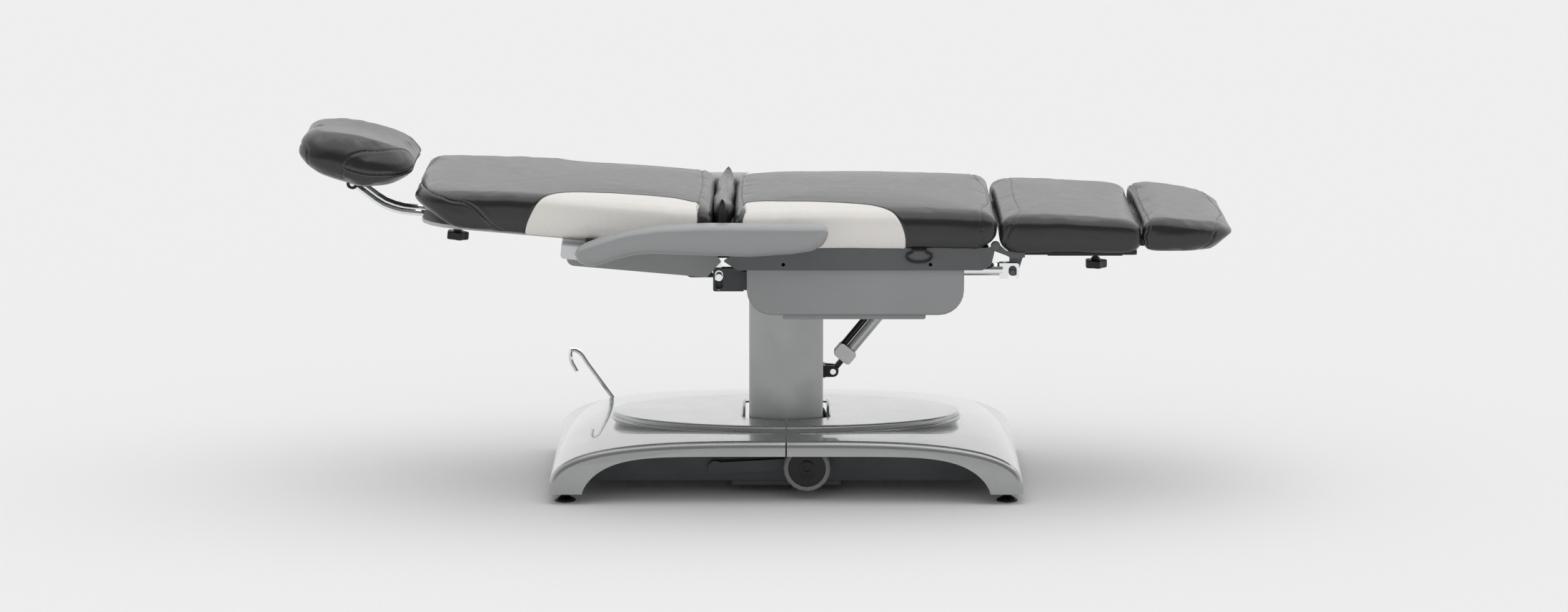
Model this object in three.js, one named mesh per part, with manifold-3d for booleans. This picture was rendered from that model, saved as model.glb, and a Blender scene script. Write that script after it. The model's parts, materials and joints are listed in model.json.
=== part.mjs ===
// Treatment couch on one lifting column: X runs from the head end to the foot end, Y across, Z up.
// All lengths are in millimetres, taken from the middle of the base; the last lines centre the couch.
import * as THREE from "three";
import { mergeVertices } from "three/addons/utils/BufferGeometryUtils.js";
import Module from "manifold-3d";

const wasm = await Module();
wasm.setup();

// Clearances shared by all pieces
const gap = 0.3;
const slideGap = 0.4;
const overrun = 5;
const weld = 0.0005;

// Base covers: an arch in side view, hollow, in two halves
const coverHalf = 500;
const coverFoot = 23;
const coverRise = 113;
const coverHalfDepth = 310;
const coverWall = 4;
const coverRidge = 14;
const coverSplit = 3;
const coverPowers = [3.2, 3.1];
const archFoot = 70;
const archHalf = coverHalf - archFoot;
const archRise = 81;
const archPowers = [7, 1.45];

// Oval plinth on the covers, and the low lips beside the column
const plinthTop = 147;
const plinthFootX = 378;
const plinthFootY = 212;
const plinthEdgeX = 7;
const plinthEdgeY = 28;
const plinthSink = 50;
const lipHeight = 22;
const lipHalf = 90;
const lipThick = 6;
const lipSlope = 4;
const lipGap = 8;

// Column: three telescoping tubes
const columnHalfX = 79;
const columnCorner = 92;
const columnBulge = 118;
const columnRound = 12;
const columnWall = 4;
const columnOpening = 4;
const outerLow = 75;
const outerTop = 470;
const middleLow = 52;
const middleTop = 430;
const fixedTop = 400;
const headPlate = 12;
const headCut = 2;

// Chassis
const plateHalfX = 120;
const plateLow = 20;
const plateThick = 10;
const railMid = 175;
const railWidth = 40;
const railHeight = 54;
const railWall = 4;
const crossbarInset = 60;
const crossbarInner = coverHalf - crossbarInset;
const crossbarFree = 1.3;
const crossbarHeight = 30;
const crossbarHalf = 280;
const footInset = 33;
const footX = coverHalf - footInset;
const footY = 260;
const footRadius = 22.5;
const footRim = 4;
const footNeck = 8;
const footNeckLow = 12;
const footShoulder = 11;
const footShoulderLow = 19;
const footStem = 6;
const footNut = 10;
const footNutHeight = 6;
const footTipAbove = 8;

// Wheels on their carriage
const wheelX = 44;
const wheelY = 250;
const wheelZ = 70;
const wheelRadius = 50;
const wheelWidth = 32;
const tyreDepth = 10;
const tyreRound = 5;
const hubFace = 3;
const hubDish = 8;
const hubHex = 9;
const hubHexDeep = 4;
const hubEnd = 9;
const axleRadius = 6;
const carriageX = -150;
const carriageZ = 60;
const carriageShaft = 10;
const carriageHub = 16;
const carriageArmIn = 200;
const carriageArmOut = 212;
const carriageArmHalf = 12;
const tailHalf = 6;
const tailMid = 134;
const tailWide = 12;
const tailEnd = 14;

// Wheel lever at the far side
const leverX = -346;
const leverZ = 60;
const leverShaft = 8;
const leverMid = 327.5;
const leverRod = 5.5;
const crankReach = 26;
const crankThick = 9;
const crankEye = 13;
const crankPin = 6;
const crankFree = 1;
const crankDrop = 30;
const leverReach = 190;
const leverLean = 126;
const leverHook = 18;
const leverBack = 26;
const leverReturn = 48;

// Tilt hinge of the seat on the column head
const tiltZ = 520;
const tiltShaft = 10;
const earMid = 60;
const earThick = 14;
const earRound = 14;
const earFoot = 34;

// Seat: side plates, board, shaft
const seatPlateY = 283;
const seatPlateThick = 5;
const seatPlateLow = 497;
const seatPlateTop = 544.6;
const seatPlateCut = 19;
const seatPlateCutHigh = 10;
const seatPlateNose = -107.7;
const seatPlateTail = 24;
const seatPlateRise = 17;
const seatPlateNoseLow = 3.7;
const seatPlateNoseHigh = 19.5;
const seatPlateRound = 6;
const plateHoleRadius = 4;
const plateHoleX = [-6, 302];
const plateHoleZ = 509;
const seatBoardLow = 536.5;
const seatBoardThick = 8;
const seatBoardHead = -96;
const seatBoardFoot = 424;
const seatPlateOver = 5;
const seatPlateEnd = seatBoardFoot + seatPlateOver;
const boardRound = 8;

// Back hinge and leg hinge
const backX = -203;
const backZ = 533;
const backBoss = 10;
const backArmY = 126;
const backArmThick = 8;
const backArmDrop = 58;
const backArmHigh = 18;
const backArmHead = 12;
const backArmFoot = 4;
const backArmRise = 108;
const backArmWide = 60;
const backArmRound = 14;
const legHingeReach = 14;
const legX = seatBoardFoot + legHingeReach;
const legZ = 548;
const legBoss = 10;
const hingePin = 5;
const pinHead = 8;
const pinHeadThick = 2.4;
const backRest = 5;

// Motor casing with the tray under it
const casingHead = -82.5;
const casingFoot = 373;
const casingLow = 400;
const casingTop = 505;
const casingRound = 53;
const casingWall = 3;
const casingNotchHalf = 190;
const casingNotchLow = 20;
const casingColumnHalf = 132;
const casingColumnEnd = 89;
const casingSlotHead = 150;
const casingSlotFoot = 300;
const casingSlotHalf = 40;
const casingPortHalf = 20;
const trayHead = -7.5;
const trayFoot = 293;
const trayThick = 9.7;
const trayHalf = 270;
const trayEdge = 5;
const trayWedgeHead = 92;
const trayWedgeFoot = 170;
const trayWedgeDeep = 8;

// Tilt drive between the column and the seat
const tiltLowX = 101;
const tiltLowZ = 232;
const tiltHighX = 280;
const tiltHighZ = 450;
const bracketPlate = 5;
const bracketHigh = 14;
const bracketLow = 12;
const bracketHalf = 22;
const earGap = 8.4;
const earWall = 6;
const drivePin = 5;
const driveEye = 11;
const eyePlay = 1.5;
const collarStart = 30;
const collarLong = 32;
const collarHalf = 17;
const motorRadius = 13;
const motorShift = 25;
const motorEnd = 200;
const guideRadius = 12;
const guideEnd = 258;
const rodRadius = 8;
const rodStart = 90;

// Back drive: a fork on a sliding bar pushes the pin of the back section
const backPinX = -142;
const backPinZ = 465;
const backDriveY = 165;
const forkSlot = 8.5;
const forkSlotUp = 14;
const forkSlotDown = 29;
const forkWeb = 4;
const forkWebLow = 2;
const forkPlate = 5;
const forkInner = 8;
const forkThroat = 40;
const forkHead = 52;
const barHalf = 15;
const barHigh = 20;
const barMid = 457;
const barEnd = 80;
const driveBoxHead = -70;
const driveBoxFoot = 115;
const driveBoxWall = 4.6;
const hangerHead = 20;
const hangerFoot = 80;
const hangerHalf = 10;
const leverArmHalf = 5;
const leverPin = 5;
const leverPinHead = 7.5;
const leverPinHeadThick = 8;
const leverArmHead = 2;
const leverArmFoot = 48;
const leverArmEye = 9;

// Leg drive: a chrome tube with a fork under the leg hinge
const legPinReach = 37.7;
const legPinX = legX + legPinReach;
const legPinZ = 486.5;
const legDriveY = 235;
const legTubeZ = 491.5;
const legTubeRadius = 14;
const legTubeStart = 250;
const legBoxHead = 130;
const legBoxFoot = 345;
const legBoxHalf = 23;
const legHangerHead = 180;
const legHangerFoot = 300;
const legForkSlot = 8.5;
const legForkUp = 14;
const legForkWeb = 5;
const legForkLow = 13.9;
const legForkHead = 13.7;
const legForkBlock = 14;
const legForkInner = 8;
const legForkPlate = 4;
const legArmHalf = 4;
const legArmEye = 9;
const legPin = 5;

// Back section, measured from its hinge along the raised board
const boardUp = 6.2;
const boardThick = 7.7;
const backBoardHead = -567;
const backBoardFoot = 53;
const backBoardHalf = 272;
const backBoardWide = 282.7;
const backBoardStep = -172;
const hingePlateHead = -110;
const hingePlateFoot = 14;
const hingePlateLow = 11;
const hingePlateGap = 1;
const hingePlateThick = 5;
const housingHead = -257;
const housingLow = 63.5;
const housingHalf = 190;
const housingWall = 3.5;
const housingEndLow = 41;
const housingEndHigh = 68.4;
const housingEndRise = 36;
const housingRound = 16;
const housingRim = 6;
const housingRimDeep = 7;
const housingSlotFoot = -26;
const housingNotchFoot = 22;
const housingNotchHalf = 22;
const carrierHead = -267;
const carrierFoot = -180;
const carrierLow = 30;
const carrierHalf = 315;
const carrierStep = 4;
const carrierEnd = 273;
const armPivot = -194;
const armPivotRadius = 8;
const armPivotReach = 30;
const armKnobX = -202;
const armKnobY = 290;
const armKnobRadius = 15.5;
const armKnobHigh = 15;
const armKnobRib = 1.1;
const armKnobStem = 4;
const armKnobDeep = 14;

// Armrests
const armFree = 15;
const armInner = carrierHalf + armFree;
const armWidth = 80;
const armHead = -438.5;
const armLength = 526;
const armLow = 521;
const armHeight = 79.5;
const armRound = 13;

// Head section
const headRodY = 35;
const headRodRadius = 7;
const headRodDrop = 3.5;
const headRodStart = -345;
const headRodBend = -600;
const headBlockX = -925;
const headBlockZ = 645;
const headBlockRadius = 11;
const headBlockHalf = 45.5;
const headEndBar = 10;
const headEndHalf = 43;
const headRise = [0, 0.5, 10, 28.3, 52.1];
const headRun = [0, 20, 60, 92, 129];
const sleeveHead = -533;
const sleeveFoot = -468;
const sleeveHalf = 55;
const sleeveLow = 17;
const headKnobX = -500;
const headKnobRadius = 25;
const headKnobTop = 41;
const headKnobHigh = 17;
const headKnobStem = 5;
const knobNeck = 9;
const knobNeckHigh = 6;
const headTilt = 17;
const headBoardUp = 11.3;
const headBoardThick = 8;
const headBoardHead = -75;
const headBoardFoot = 35;
const headBoardHalf = 110;
const headLug = 6;
const headLugHalf = 14;

// Leg section
const legPlateGap = 1;
const legPlateThick = 5;
const legPlateReach = 62;
const legPlateFoot = legX + legPlateReach;
const legPlateLow = 522;
const legPlateNeck = 24;
const legPlateStart = legX + legPlateNeck;
const legBoardLow = 528;
const legBoardThick = 8.2;
const legBoardTop = legBoardLow + legBoardThick;
const legBoardFree = 32;
const legBoardLength = 265;
const legBoardHead = legX + legBoardFree;
const legBoardFoot = legBoardHead + legBoardLength;
const legBoardHalf = 276.7;
const legSleeveInset = 15;
const legSleeveLength = 160;
const legSleeveFoot = legBoardFoot - legSleeveInset;
const legSleeveHead = legSleeveFoot - legSleeveLength;
const legSleeveLow = 487;
const legSleeveHalf = 32;
const legSleeveWall = 5;
const legKnobInset = 56;
const legKnobX = legSleeveFoot - legKnobInset;
const legKnobTop = 474;
const footRailHigh = 16;
const footRailHalf = 22;
const footRailStart = 42;
const footRailHead = legX + footRailStart;
const footBoardFree = 17;
const footBoardLength = 128;
const footBoardHead = legBoardFoot + footBoardFree;
const footBoardFoot = footBoardHead + footBoardLength;
const footBoardHalf = 200;
const footPlateThick = 6;

// Pull loop under the near edge of the seat
const loopX = 278;
const loopTop = 544;
const loopY = 291.3;
const loopWire = 3;
const loopHalf = 27;
const loopNeck = 13;
const loopDrop = 29;
const loopNeckDrop = 7;

// Upholstery
const padGap = 0.3;
const seatPadOver = 3;
const legPadStart = 7.8;
const legPadLength = 298;
const legPadFoot = legX + legPadStart + legPadLength;
const footPadFree = 3.6;
const footPadLength = 195;
const footPadLow = 540;
const backPadLength = 632;
const backPadFoot = 46;
const seatPadHalf = 303;
const backPadHalf = 303;
const legPadHalf = 300;
const footPadHalf = 290;
const headPadHalf = 172;
const headPadHead = 128;
const headPadFoot = 117.5;
const headPadLow = 19.6;
const seatPadAhead = 17;
const seatPad = {
  head: seatBoardHead - seatPadAhead, foot: legX + seatPadOver, half: seatPadHalf,
  low: seatPlateTop + padGap, thick: 77.6, edge: 24, crown: 4,
  cornerHead: 16, cornerFoot: 16,
  tuckHead: [21, 52, 1.3], tuckFoot: [30, 40, 2.3], tuckSide: [10, 30, 2],
  topShares: [0.935, 0.985, 1, 0.99, 0.935], lowShares: [0, 0, 0],
};
const backPad = {
  head: backPadFoot - backPadLength, foot: backPadFoot, half: backPadHalf,
  low: boardUp + boardThick + padGap, thick: 81, edge: 22, crown: 4,
  cornerHead: 75, cornerFoot: 18,
  tuckHead: [34, 40, 2], tuckFoot: [6, 30, 2], tuckSide: [9, 30, 2],
  topShares: [0.74, 0.82, 0.92, 0.98, 1, 1, 1, 1, 0.99, 0.97], lowShares: [0.42, 0.02, 0, 0, 0, 0, 0, 0],
};
const legPad = {
  head: legPadFoot - legPadLength, foot: legPadFoot, half: legPadHalf, low: legBoardTop + padGap,
  thick: 75, edge: 20, crown: 3,
  cornerHead: 18, cornerFoot: 18,
  tuckHead: [20, 40, 3.2], tuckFoot: [12, 24, 2], tuckSide: [10, 26, 2],
  topShares: [0.96, 1, 0.99, 0.95, 0.9, 0.83], lowShares: [0, 0, 0],
};
const footPad = {
  head: legPadFoot + footPadFree, foot: legPadFoot + footPadFree + footPadLength, half: footPadHalf,
  low: footPadLow, thick: 66, edge: 18, crown: 2,
  cornerHead: 16, cornerFoot: 105,
  tuckHead: [9, 22, 2], tuckFoot: [20, 20, 2], tuckSide: [12, 24, 2],
  topShares: [0.96, 0.99, 0.93, 0.86, 0.78, 0.62], lowShares: [0, 0, 0, 0.02, 0.3],
};
const headPad = {
  head: -headPadHead, foot: headPadFoot, half: headPadHalf, low: headPadLow, thick: 96, edge: 26, crown: 2,
  cornerHead: 66, cornerFoot: 58,
  tuckHead: [22, 30, 2], tuckFoot: [26, 40, 2], tuckSide: [20, 34, 2],
  topShares: [0.5, 0.66, 0.84, 0.95, 1, 1, 0.96, 0.84], lowShares: [0.16, 0, 0, 0, 0.2, 0.52],
};
const headDish = 14;
const bolsterHead = -153.5;
const bolsterThick = 39.5;
const bolsterLow = 560;
const bolsterHigh = 85;
const bolsterHalf = 282;

// Finishes
const finish = (color, roughness, metalness) => (
  new THREE.MeshStandardMaterial({ color, roughness, metalness })
);
const silver = finish(0xb9bbba, 0.28, 0.55);
const casingGrey = finish(0x8d8f8f, 0.45, 0.2);
const columnGrey = finish(0xa9abaa, 0.35, 0.4);
const plateGrey = finish(0x54565a, 0.5, 0.4);
const frameSteel = finish(0x4a4c4f, 0.6, 0.5);
const blackPlastic = finish(0x1b1c1d, 0.5, 0);
const chrome = finish(0xdfe2e4, 0.12, 1);
const lightAlloy = finish(0xc4c7c8, 0.3, 0.8);
const tyreRubber = finish(0x8a8c8c, 0.8, 0);
const upholstery = finish(0x4a4b4d, 0.6, 0);
const armGrey = finish(0x9c9e9e, 0.45, 0.05);
const boardBlack = finish(0x2c2d2f, 0.8, 0);
const boardLight = finish(0xb4b4b0, 0.7, 0);

// Solids from geometries, and joins and cuts between them
const toSolid = (geometry) => {
  const bare = geometry.clone();
  bare.deleteAttribute("normal");
  bare.deleteAttribute("uv");
  const merged = mergeVertices(bare, weld);
  const kept = [];
  const index = merged.index.array;
  for (let i = 0; i < index.length; i += 3) {
    const [a, b, c] = [index[i], index[i + 1], index[i + 2]];
    if (a !== b && b !== c && c !== a) {
      kept.push(a, b, c);
    }
  }
  return new wasm.Manifold(new wasm.Mesh({
    numProp: 3,
    vertProperties: new Float32Array(merged.attributes.position.array),
    triVerts: new Uint32Array(kept),
  }));
};
const asSolid = (shape) => (shape.isBufferGeometry ? toSolid(shape) : shape);
const join = (...shapes) => shapes.map(asSolid).reduce((whole, next) => whole.add(next));
const cut = (body, ...tools) => {
  const solids = tools.map(asSolid);
  return solids.reduce((whole, tool) => whole.subtract(tool), asSolid(body));
};
const common = (one, other) => asSolid(one).intersect(asSolid(other));
const toGeometry = (solid) => {
  const mesh = solid.getMesh();
  const geometry = new THREE.BufferGeometry();
  geometry.setAttribute("position", new THREE.BufferAttribute(mesh.vertProperties, 3));
  geometry.setIndex(new THREE.BufferAttribute(mesh.triVerts, 1));
  return geometry;
};

const couch = new THREE.Group();
const place = (name, shape, material, parent = couch) => {
  const mesh = new THREE.Mesh(toGeometry(asSolid(shape)), material);
  mesh.name = name;
  parent.add(mesh);
  return mesh;
};

// Blocks, rods and plates, each given by its faces
const block = (x0, x1, y0, y1, z0, z1) => {
  const box = new THREE.BoxGeometry(x1 - x0, y1 - y0, z1 - z0);
  return box.translate((x0 + x1) / 2, (y0 + y1) / 2, (z0 + z1) / 2);
};
const rodY = (radius, x, z, y0, y1, sides = 12) => {
  const rod = new THREE.CylinderGeometry(radius, radius, y1 - y0, sides);
  return rod.translate(x, (y0 + y1) / 2, z);
};
const rodX = (radius, y, z, x0, x1, sides = 12) => {
  const rod = new THREE.CylinderGeometry(radius, radius, x1 - x0, sides).rotateZ(Math.PI / 2);
  return rod.translate((x0 + x1) / 2, y, z);
};
const rodZ = (radius, x, y, z0, z1, sides = 12) => {
  const rod = new THREE.CylinderGeometry(radius, radius, z1 - z0, sides).rotateX(Math.PI / 2);
  return rod.translate(x, y, (z0 + z1) / 2);
};
// The span from inner to outer on the side that the sign names
const sided = (sign, inner, outer) => (sign > 0 ? [inner, outer] : [-outer, -inner]);
// A closed outline from [x, y, radius] corners, each corner rounded with a true arc
const outline = (corners, steps = 4) => {
  const points = [];
  corners.forEach(([x, y, radius = 0], i) => {
    const here = new THREE.Vector2(x, y);
    if (radius === 0) {
      points.push(here);
      return;
    }
    const last = corners[(i + corners.length - 1) % corners.length];
    const next = corners[(i + 1) % corners.length];
    const back = new THREE.Vector2(last[0], last[1]).sub(here);
    const ahead = new THREE.Vector2(next[0], next[1]).sub(here);
    const half = back.angleTo(ahead) / 2;
    const reach = Math.min(radius / Math.tan(half), back.length() / 2, ahead.length() / 2);
    const arc = reach * Math.tan(half);
    const middle = back.clone().normalize().add(ahead.clone().normalize()).normalize();
    const centre = middle.multiplyScalar(arc / Math.sin(half)).add(here);
    const from = back.normalize().multiplyScalar(reach).add(here).sub(centre).angle();
    const to = ahead.normalize().multiplyScalar(reach).add(here).sub(centre).angle();
    const turn = Math.atan2(Math.sin(to - from), Math.cos(to - from));
    for (let k = 0; k <= steps; k += 1) {
      const angle = from + (turn * k) / steps;
      points.push(new THREE.Vector2(centre.x + arc * Math.cos(angle), centre.y + arc * Math.sin(angle)));
    }
  });
  return new THREE.Shape(points);
};
const extrude = (shape, depth) => new THREE.ExtrudeGeometry(shape, { depth, bevelEnabled: false });
const slabXZ = (shape, y0, y1) => extrude(shape, y1 - y0).rotateX(Math.PI / 2).translate(0, y1, 0);
const slabXY = (shape, z0, z1) => extrude(shape, z1 - z0).translate(0, 0, z0);
const slabYZ = (shape, x0, x1) => {
  const turn = new THREE.Matrix4().makeBasis(
    new THREE.Vector3(0, 1, 0),
    new THREE.Vector3(0, 0, 1),
    new THREE.Vector3(1, 0, 0),
  );
  return extrude(shape, x1 - x0).applyMatrix4(turn).translate(x0, 0, 0);
};
const bevelled = (shape, y0, y1, radius, segments = 3) => {
  const options = { depth: y1 - y0 - 2 * radius, bevelEnabled: true, bevelSegments: segments };
  Object.assign(options, { bevelThickness: radius, bevelSize: radius, bevelOffset: -radius });
  return new THREE.ExtrudeGeometry(shape, options).rotateX(Math.PI / 2).translate(0, y1 - radius, 0);
};
const circle = (radius, sides) => {
  const points = [];
  for (let i = 0; i < sides; i += 1) {
    const angle = (2 * Math.PI * i) / sides;
    points.push(new THREE.Vector2(radius * Math.cos(angle), radius * Math.sin(angle)));
  }
  return new THREE.Shape(points);
};
const tube = (points, radius, sides, steps) => new THREE.ExtrudeGeometry(circle(radius, sides), {
  steps,
  bevelEnabled: false,
  extrudePath: new THREE.CatmullRomCurve3(points, false, "centripetal"),
});
// A closed skin over rings with equal numbers of points, from the lowest ring to the highest
const loft = (rings) => {
  const count = rings[0].length;
  const positions = [];
  const middle = (ring) => ring.reduce((sum, p) => sum.add(p), new THREE.Vector3()).divideScalar(count);
  rings.forEach((ring) => ring.forEach((p) => positions.push(p.x, p.y, p.z)));
  const low = rings.length * count;
  const ends = [middle(rings[0]), middle(rings[rings.length - 1])];
  ends.forEach((p) => positions.push(p.x, p.y, p.z));
  const index = [];
  for (let i = 0; i < count; i += 1) {
    const j = (i + 1) % count;
    for (let k = 0; k < rings.length - 1; k += 1) {
      const [a, b] = [k * count + i, k * count + j];
      const [c, d] = [a + count, b + count];
      index.push(a, b, d, a, d, c);
    }
    const top = (rings.length - 1) * count;
    index.push(low, j, i, low + 1, top + i, top + j);
  }
  const geometry = new THREE.BufferGeometry();
  geometry.setAttribute("position", new THREE.BufferAttribute(new Float32Array(positions), 3));
  geometry.setIndex(index);
  return geometry;
};
// A smooth value along a table of equally spaced shares
const along = (table, share) => {
  const at = Math.min(Math.max(share, 0), 1) * (table.length - 1);
  const low = Math.min(Math.floor(at), table.length - 2);
  const t = at - low;
  const ease = t * t * (3 - 2 * t);
  return table[low] + (table[low + 1] - table[low]) * (0.5 * t + 0.5 * ease);
};

// Base covers
const arch = (half, rise, low, powers, sink, steps = 22) => {
  const points = [];
  for (let i = 0; i <= steps; i += 1) {
    const angle = Math.PI * (1 - i / steps);
    const reach = Math.cos(angle);
    const x = half * Math.sign(reach) * Math.abs(reach) ** (2 / powers[0]);
    const up = Math.max(Math.sin(angle), 0);
    points.push(new THREE.Vector2(x, low + rise * up ** (2 / powers[1])));
  }
  points[0].set(-half, low);
  points[steps].set(half, low);
  points.push(new THREE.Vector2(half, low - sink), new THREE.Vector2(-half, low - sink));
  return new THREE.Shape(points);
};
const ellipse = (halfX, halfY, z, count = 28) => {
  const ring = [];
  for (let i = 0; i < count; i += 1) {
    const angle = (2 * Math.PI * (i + 0.5)) / count;
    ring.push(new THREE.Vector3(halfX * Math.cos(angle), halfY * Math.sin(angle), z));
  }
  return ring;
};
const coverCrown = coverFoot + coverRise;
const plinth = (inset) => {
  const rings = [ellipse(plinthFootX - inset, plinthFootY - inset, coverCrown - plinthSink)];
  const steps = 4;
  for (let k = 0; k <= steps; k += 1) {
    const angle = (Math.PI / 2) * (k / steps);
    const halfX = plinthFootX - inset - plinthEdgeX * (1 - Math.cos(angle));
    const halfY = plinthFootY - inset - plinthEdgeY * (1 - Math.cos(angle));
    rings.push(ellipse(halfX, halfY, coverCrown - inset + (plinthTop - coverCrown) * Math.sin(angle)));
  }
  return loft(rings);
};
const columnShape = (growX, growY, round) => {
  const halfX = columnHalfX + growX;
  const corner = columnCorner + growY;
  const swell = columnBulge - columnCorner;
  const side = [];
  const steps = 8;
  for (let i = 0; i <= steps; i += 1) {
    const share = (2 * i) / steps - 1;
    side.push([share * halfX, -(corner + swell * (1 - share * share)), i === 0 || i === steps ? round : 0]);
  }
  const back = side.map(([x, y, r]) => [-x, -y, r]);
  return outline([...side, ...back], 3);
};
const lip = (side) => {
  const points = [];
  const steps = 6;
  for (let i = 0; i <= steps; i += 1) {
    const share = (2 * i) / steps - 1;
    points.push(new THREE.Vector2(share * lipHalf, plinthTop + lipHeight * (1 - share * share)));
  }
  points.push(new THREE.Vector2(lipHalf, plinthTop - coverWall / 2));
  points.push(new THREE.Vector2(-lipHalf, plinthTop - coverWall / 2));
  const inner = columnHalfX + lipGap;
  const lens = slabYZ(new THREE.Shape(points), inner, inner + lipThick + lipSlope);
  const taper = slabXZ(new THREE.Shape([
    new THREE.Vector2(inner, plinthTop - coverWall),
    new THREE.Vector2(inner + lipThick + lipSlope, plinthTop - coverWall),
    new THREE.Vector2(inner + lipThick, plinthTop + lipHeight),
    new THREE.Vector2(inner, plinthTop + lipHeight),
  ]), -lipHalf, lipHalf);
  const whole = toGeometry(common(lens, taper));
  return side > 0 ? whole : whole.rotateZ(Math.PI);
};
const coverOuter = join(
  bevelled(
    arch(coverHalf, coverRise, coverFoot, coverPowers, 2 * coverRidge), -coverHalfDepth, coverHalfDepth,
    coverRidge,
  ),
  plinth(0),
);
const cavityDepth = coverHalfDepth - coverWall;
const cavityRidge = coverRidge - coverWall;
const coverCavity = join(
  bevelled(
    arch(coverHalf - coverWall, coverRise - coverWall, coverFoot, coverPowers, 2 * coverRidge + overrun),
    -cavityDepth, cavityDepth, cavityRidge,
  ),
  plinth(coverWall),
);
const coverReach = coverHalf + overrun;
const coverShell = join(
  cut(
    coverOuter,
    coverCavity,
    slabXZ(
      arch(archHalf, archRise, coverFoot, archPowers, 3 * coverRidge), -coverHalfDepth - overrun,
      coverHalfDepth + overrun,
    ),
    slabXY(columnShape(lipGap, columnOpening, columnRound), coverCrown - plinthSink, plinthTop + overrun),
    block(
      -coverReach, coverReach, -coverHalfDepth - overrun, coverHalfDepth + overrun, -3 * coverRidge,
      coverFoot,
    ),
  ),
  lip(1),
  lip(-1),
);
const coverHalfBox = (x0, x1) => block(
  x0, x1, -coverHalfDepth - overrun, coverHalfDepth + overrun, 0, plinthTop + 2 * lipHeight,
);
place("base_cover_head", common(coverShell, coverHalfBox(-coverReach, -coverSplit / 2)), silver);
place("base_cover_foot", common(coverShell, coverHalfBox(coverSplit / 2, coverReach)), silver);

// Chassis
const plateTop = plateLow + plateThick;
const chassisLow = plateTop + gap;
const railOuter = railMid + railWidth / 2;
const crossbarTop = chassisLow + crossbarHeight;
const coverInnerX = (z) => {
  const share = (z - coverFoot) / (coverRise - coverWall);
  return (coverHalf - coverWall) * (1 - share ** coverPowers[1]) ** (1 / coverPowers[0]);
};
const crossbarOuter = coverInnerX(crossbarTop) - crossbarFree;
place("base_plate", slabXY(outline([
  [-plateHalfX, -railOuter, columnRound], [plateHalfX, -railOuter, columnRound],
  [plateHalfX, railOuter, columnRound], [-plateHalfX, railOuter, columnRound],
]), plateLow, plateTop), frameSteel);
[["near", -1], ["far", 1]].forEach(([side, sign]) => {
  const [y0, y1] = [sign * railMid - railWidth / 2, sign * railMid + railWidth / 2];
  const reach = crossbarInner - gap;
  const tools = [
    block(
      -reach - overrun, reach + overrun, y0 + railWall, y1 - railWall, chassisLow + railWall,
      chassisLow + railHeight - railWall,
    ),
    rodY(carriageShaft + gap, carriageX, carriageZ, y0 - overrun, y1 + overrun),
  ];
  if (sign > 0) {
    tools.push(rodY(leverShaft + gap, leverX, leverZ, y0 - overrun, y1 + overrun));
  }
  place(
    `base_rail_${side}`,
    cut(block(-reach, reach, y0, y1, chassisLow, chassisLow + railHeight), ...tools), frameSteel,
  );
});
[["head", -1], ["foot", 1]].forEach(([end, sign]) => {
  const [x0, x1] = sided(sign, crossbarInner, crossbarOuter);
  const bore = (y) => rodZ(footStem + gap, sign * footX, y, chassisLow - overrun, crossbarTop + overrun);
  const bores = [-footY, footY].map(bore);
  place(
    `base_crossbar_${end}`,
    cut(block(x0, x1, -crossbarHalf, crossbarHalf, chassisLow, crossbarTop), ...bores), frameSteel,
  );
  [["near", -1], ["far", 1]].forEach(([side, across]) => {
    const profile = [
      [0, 0], [footRadius, 0], [footRadius, footRim], [footNeck, footNeckLow], [footNeck, footShoulderLow],
      [footShoulder, footShoulderLow], [footShoulder, chassisLow - gap], [footStem, chassisLow - gap],
      [footStem, crossbarTop + gap + footNutHeight + footTipAbove],
      [0, crossbarTop + gap + footNutHeight + footTipAbove],
    ];
    const half = profile.map(([r, z]) => new THREE.Vector2(r, z));
    const turned = new THREE.LatheGeometry(half, 12).rotateX(Math.PI / 2);
    const nut = rodZ(footNut, 0, 0, crossbarTop + gap, crossbarTop + gap + footNutHeight, 6);
    const foot = place(`levelling_foot_${end}_${side}`, join(turned, nut), blackPlastic);
    foot.position.set(sign * footX, across * footY, 0);
  });
});

// Column tubes
const squareTube = (halfX, halfY, round, wall, z0, z1) => {
  const ring = (inset) => outline([
    [-halfX + inset, -halfY + inset, round - inset], [halfX - inset, -halfY + inset, round - inset],
    [halfX - inset, halfY - inset, round - inset], [-halfX + inset, halfY - inset, round - inset],
  ], 3);
  return cut(slabXY(ring(0), z0, z1), slabXY(ring(wall), z0 - overrun, z1 + overrun));
};
const middleX = columnHalfX - columnWall - slideGap;
const middleY = columnCorner - columnWall - slideGap;
const innerX = middleX - columnWall - slideGap;
const innerY = middleY - columnWall - slideGap;
place(
  "column_fixed_tube", squareTube(innerX, innerY, columnRound, columnWall, chassisLow, fixedTop),
  columnGrey,
);
place(
  "column_middle_tube", squareTube(middleX, middleY, columnRound, columnWall, middleLow, middleTop),
  columnGrey,
);
const headTop = outerTop + headPlate;
const ear = (sign) => {
  const y = sign * earMid;
  return slabXZ(outline([
    [-earFoot, headTop - headCut], [earFoot, headTop - headCut], [earRound, tiltZ, 0],
    [earRound, tiltZ + earRound, earRound],
    [-earRound, tiltZ + earRound, earRound], [-earRound, tiltZ, 0],
  ], 6), y - earThick / 2, y + earThick / 2);
};
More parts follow.
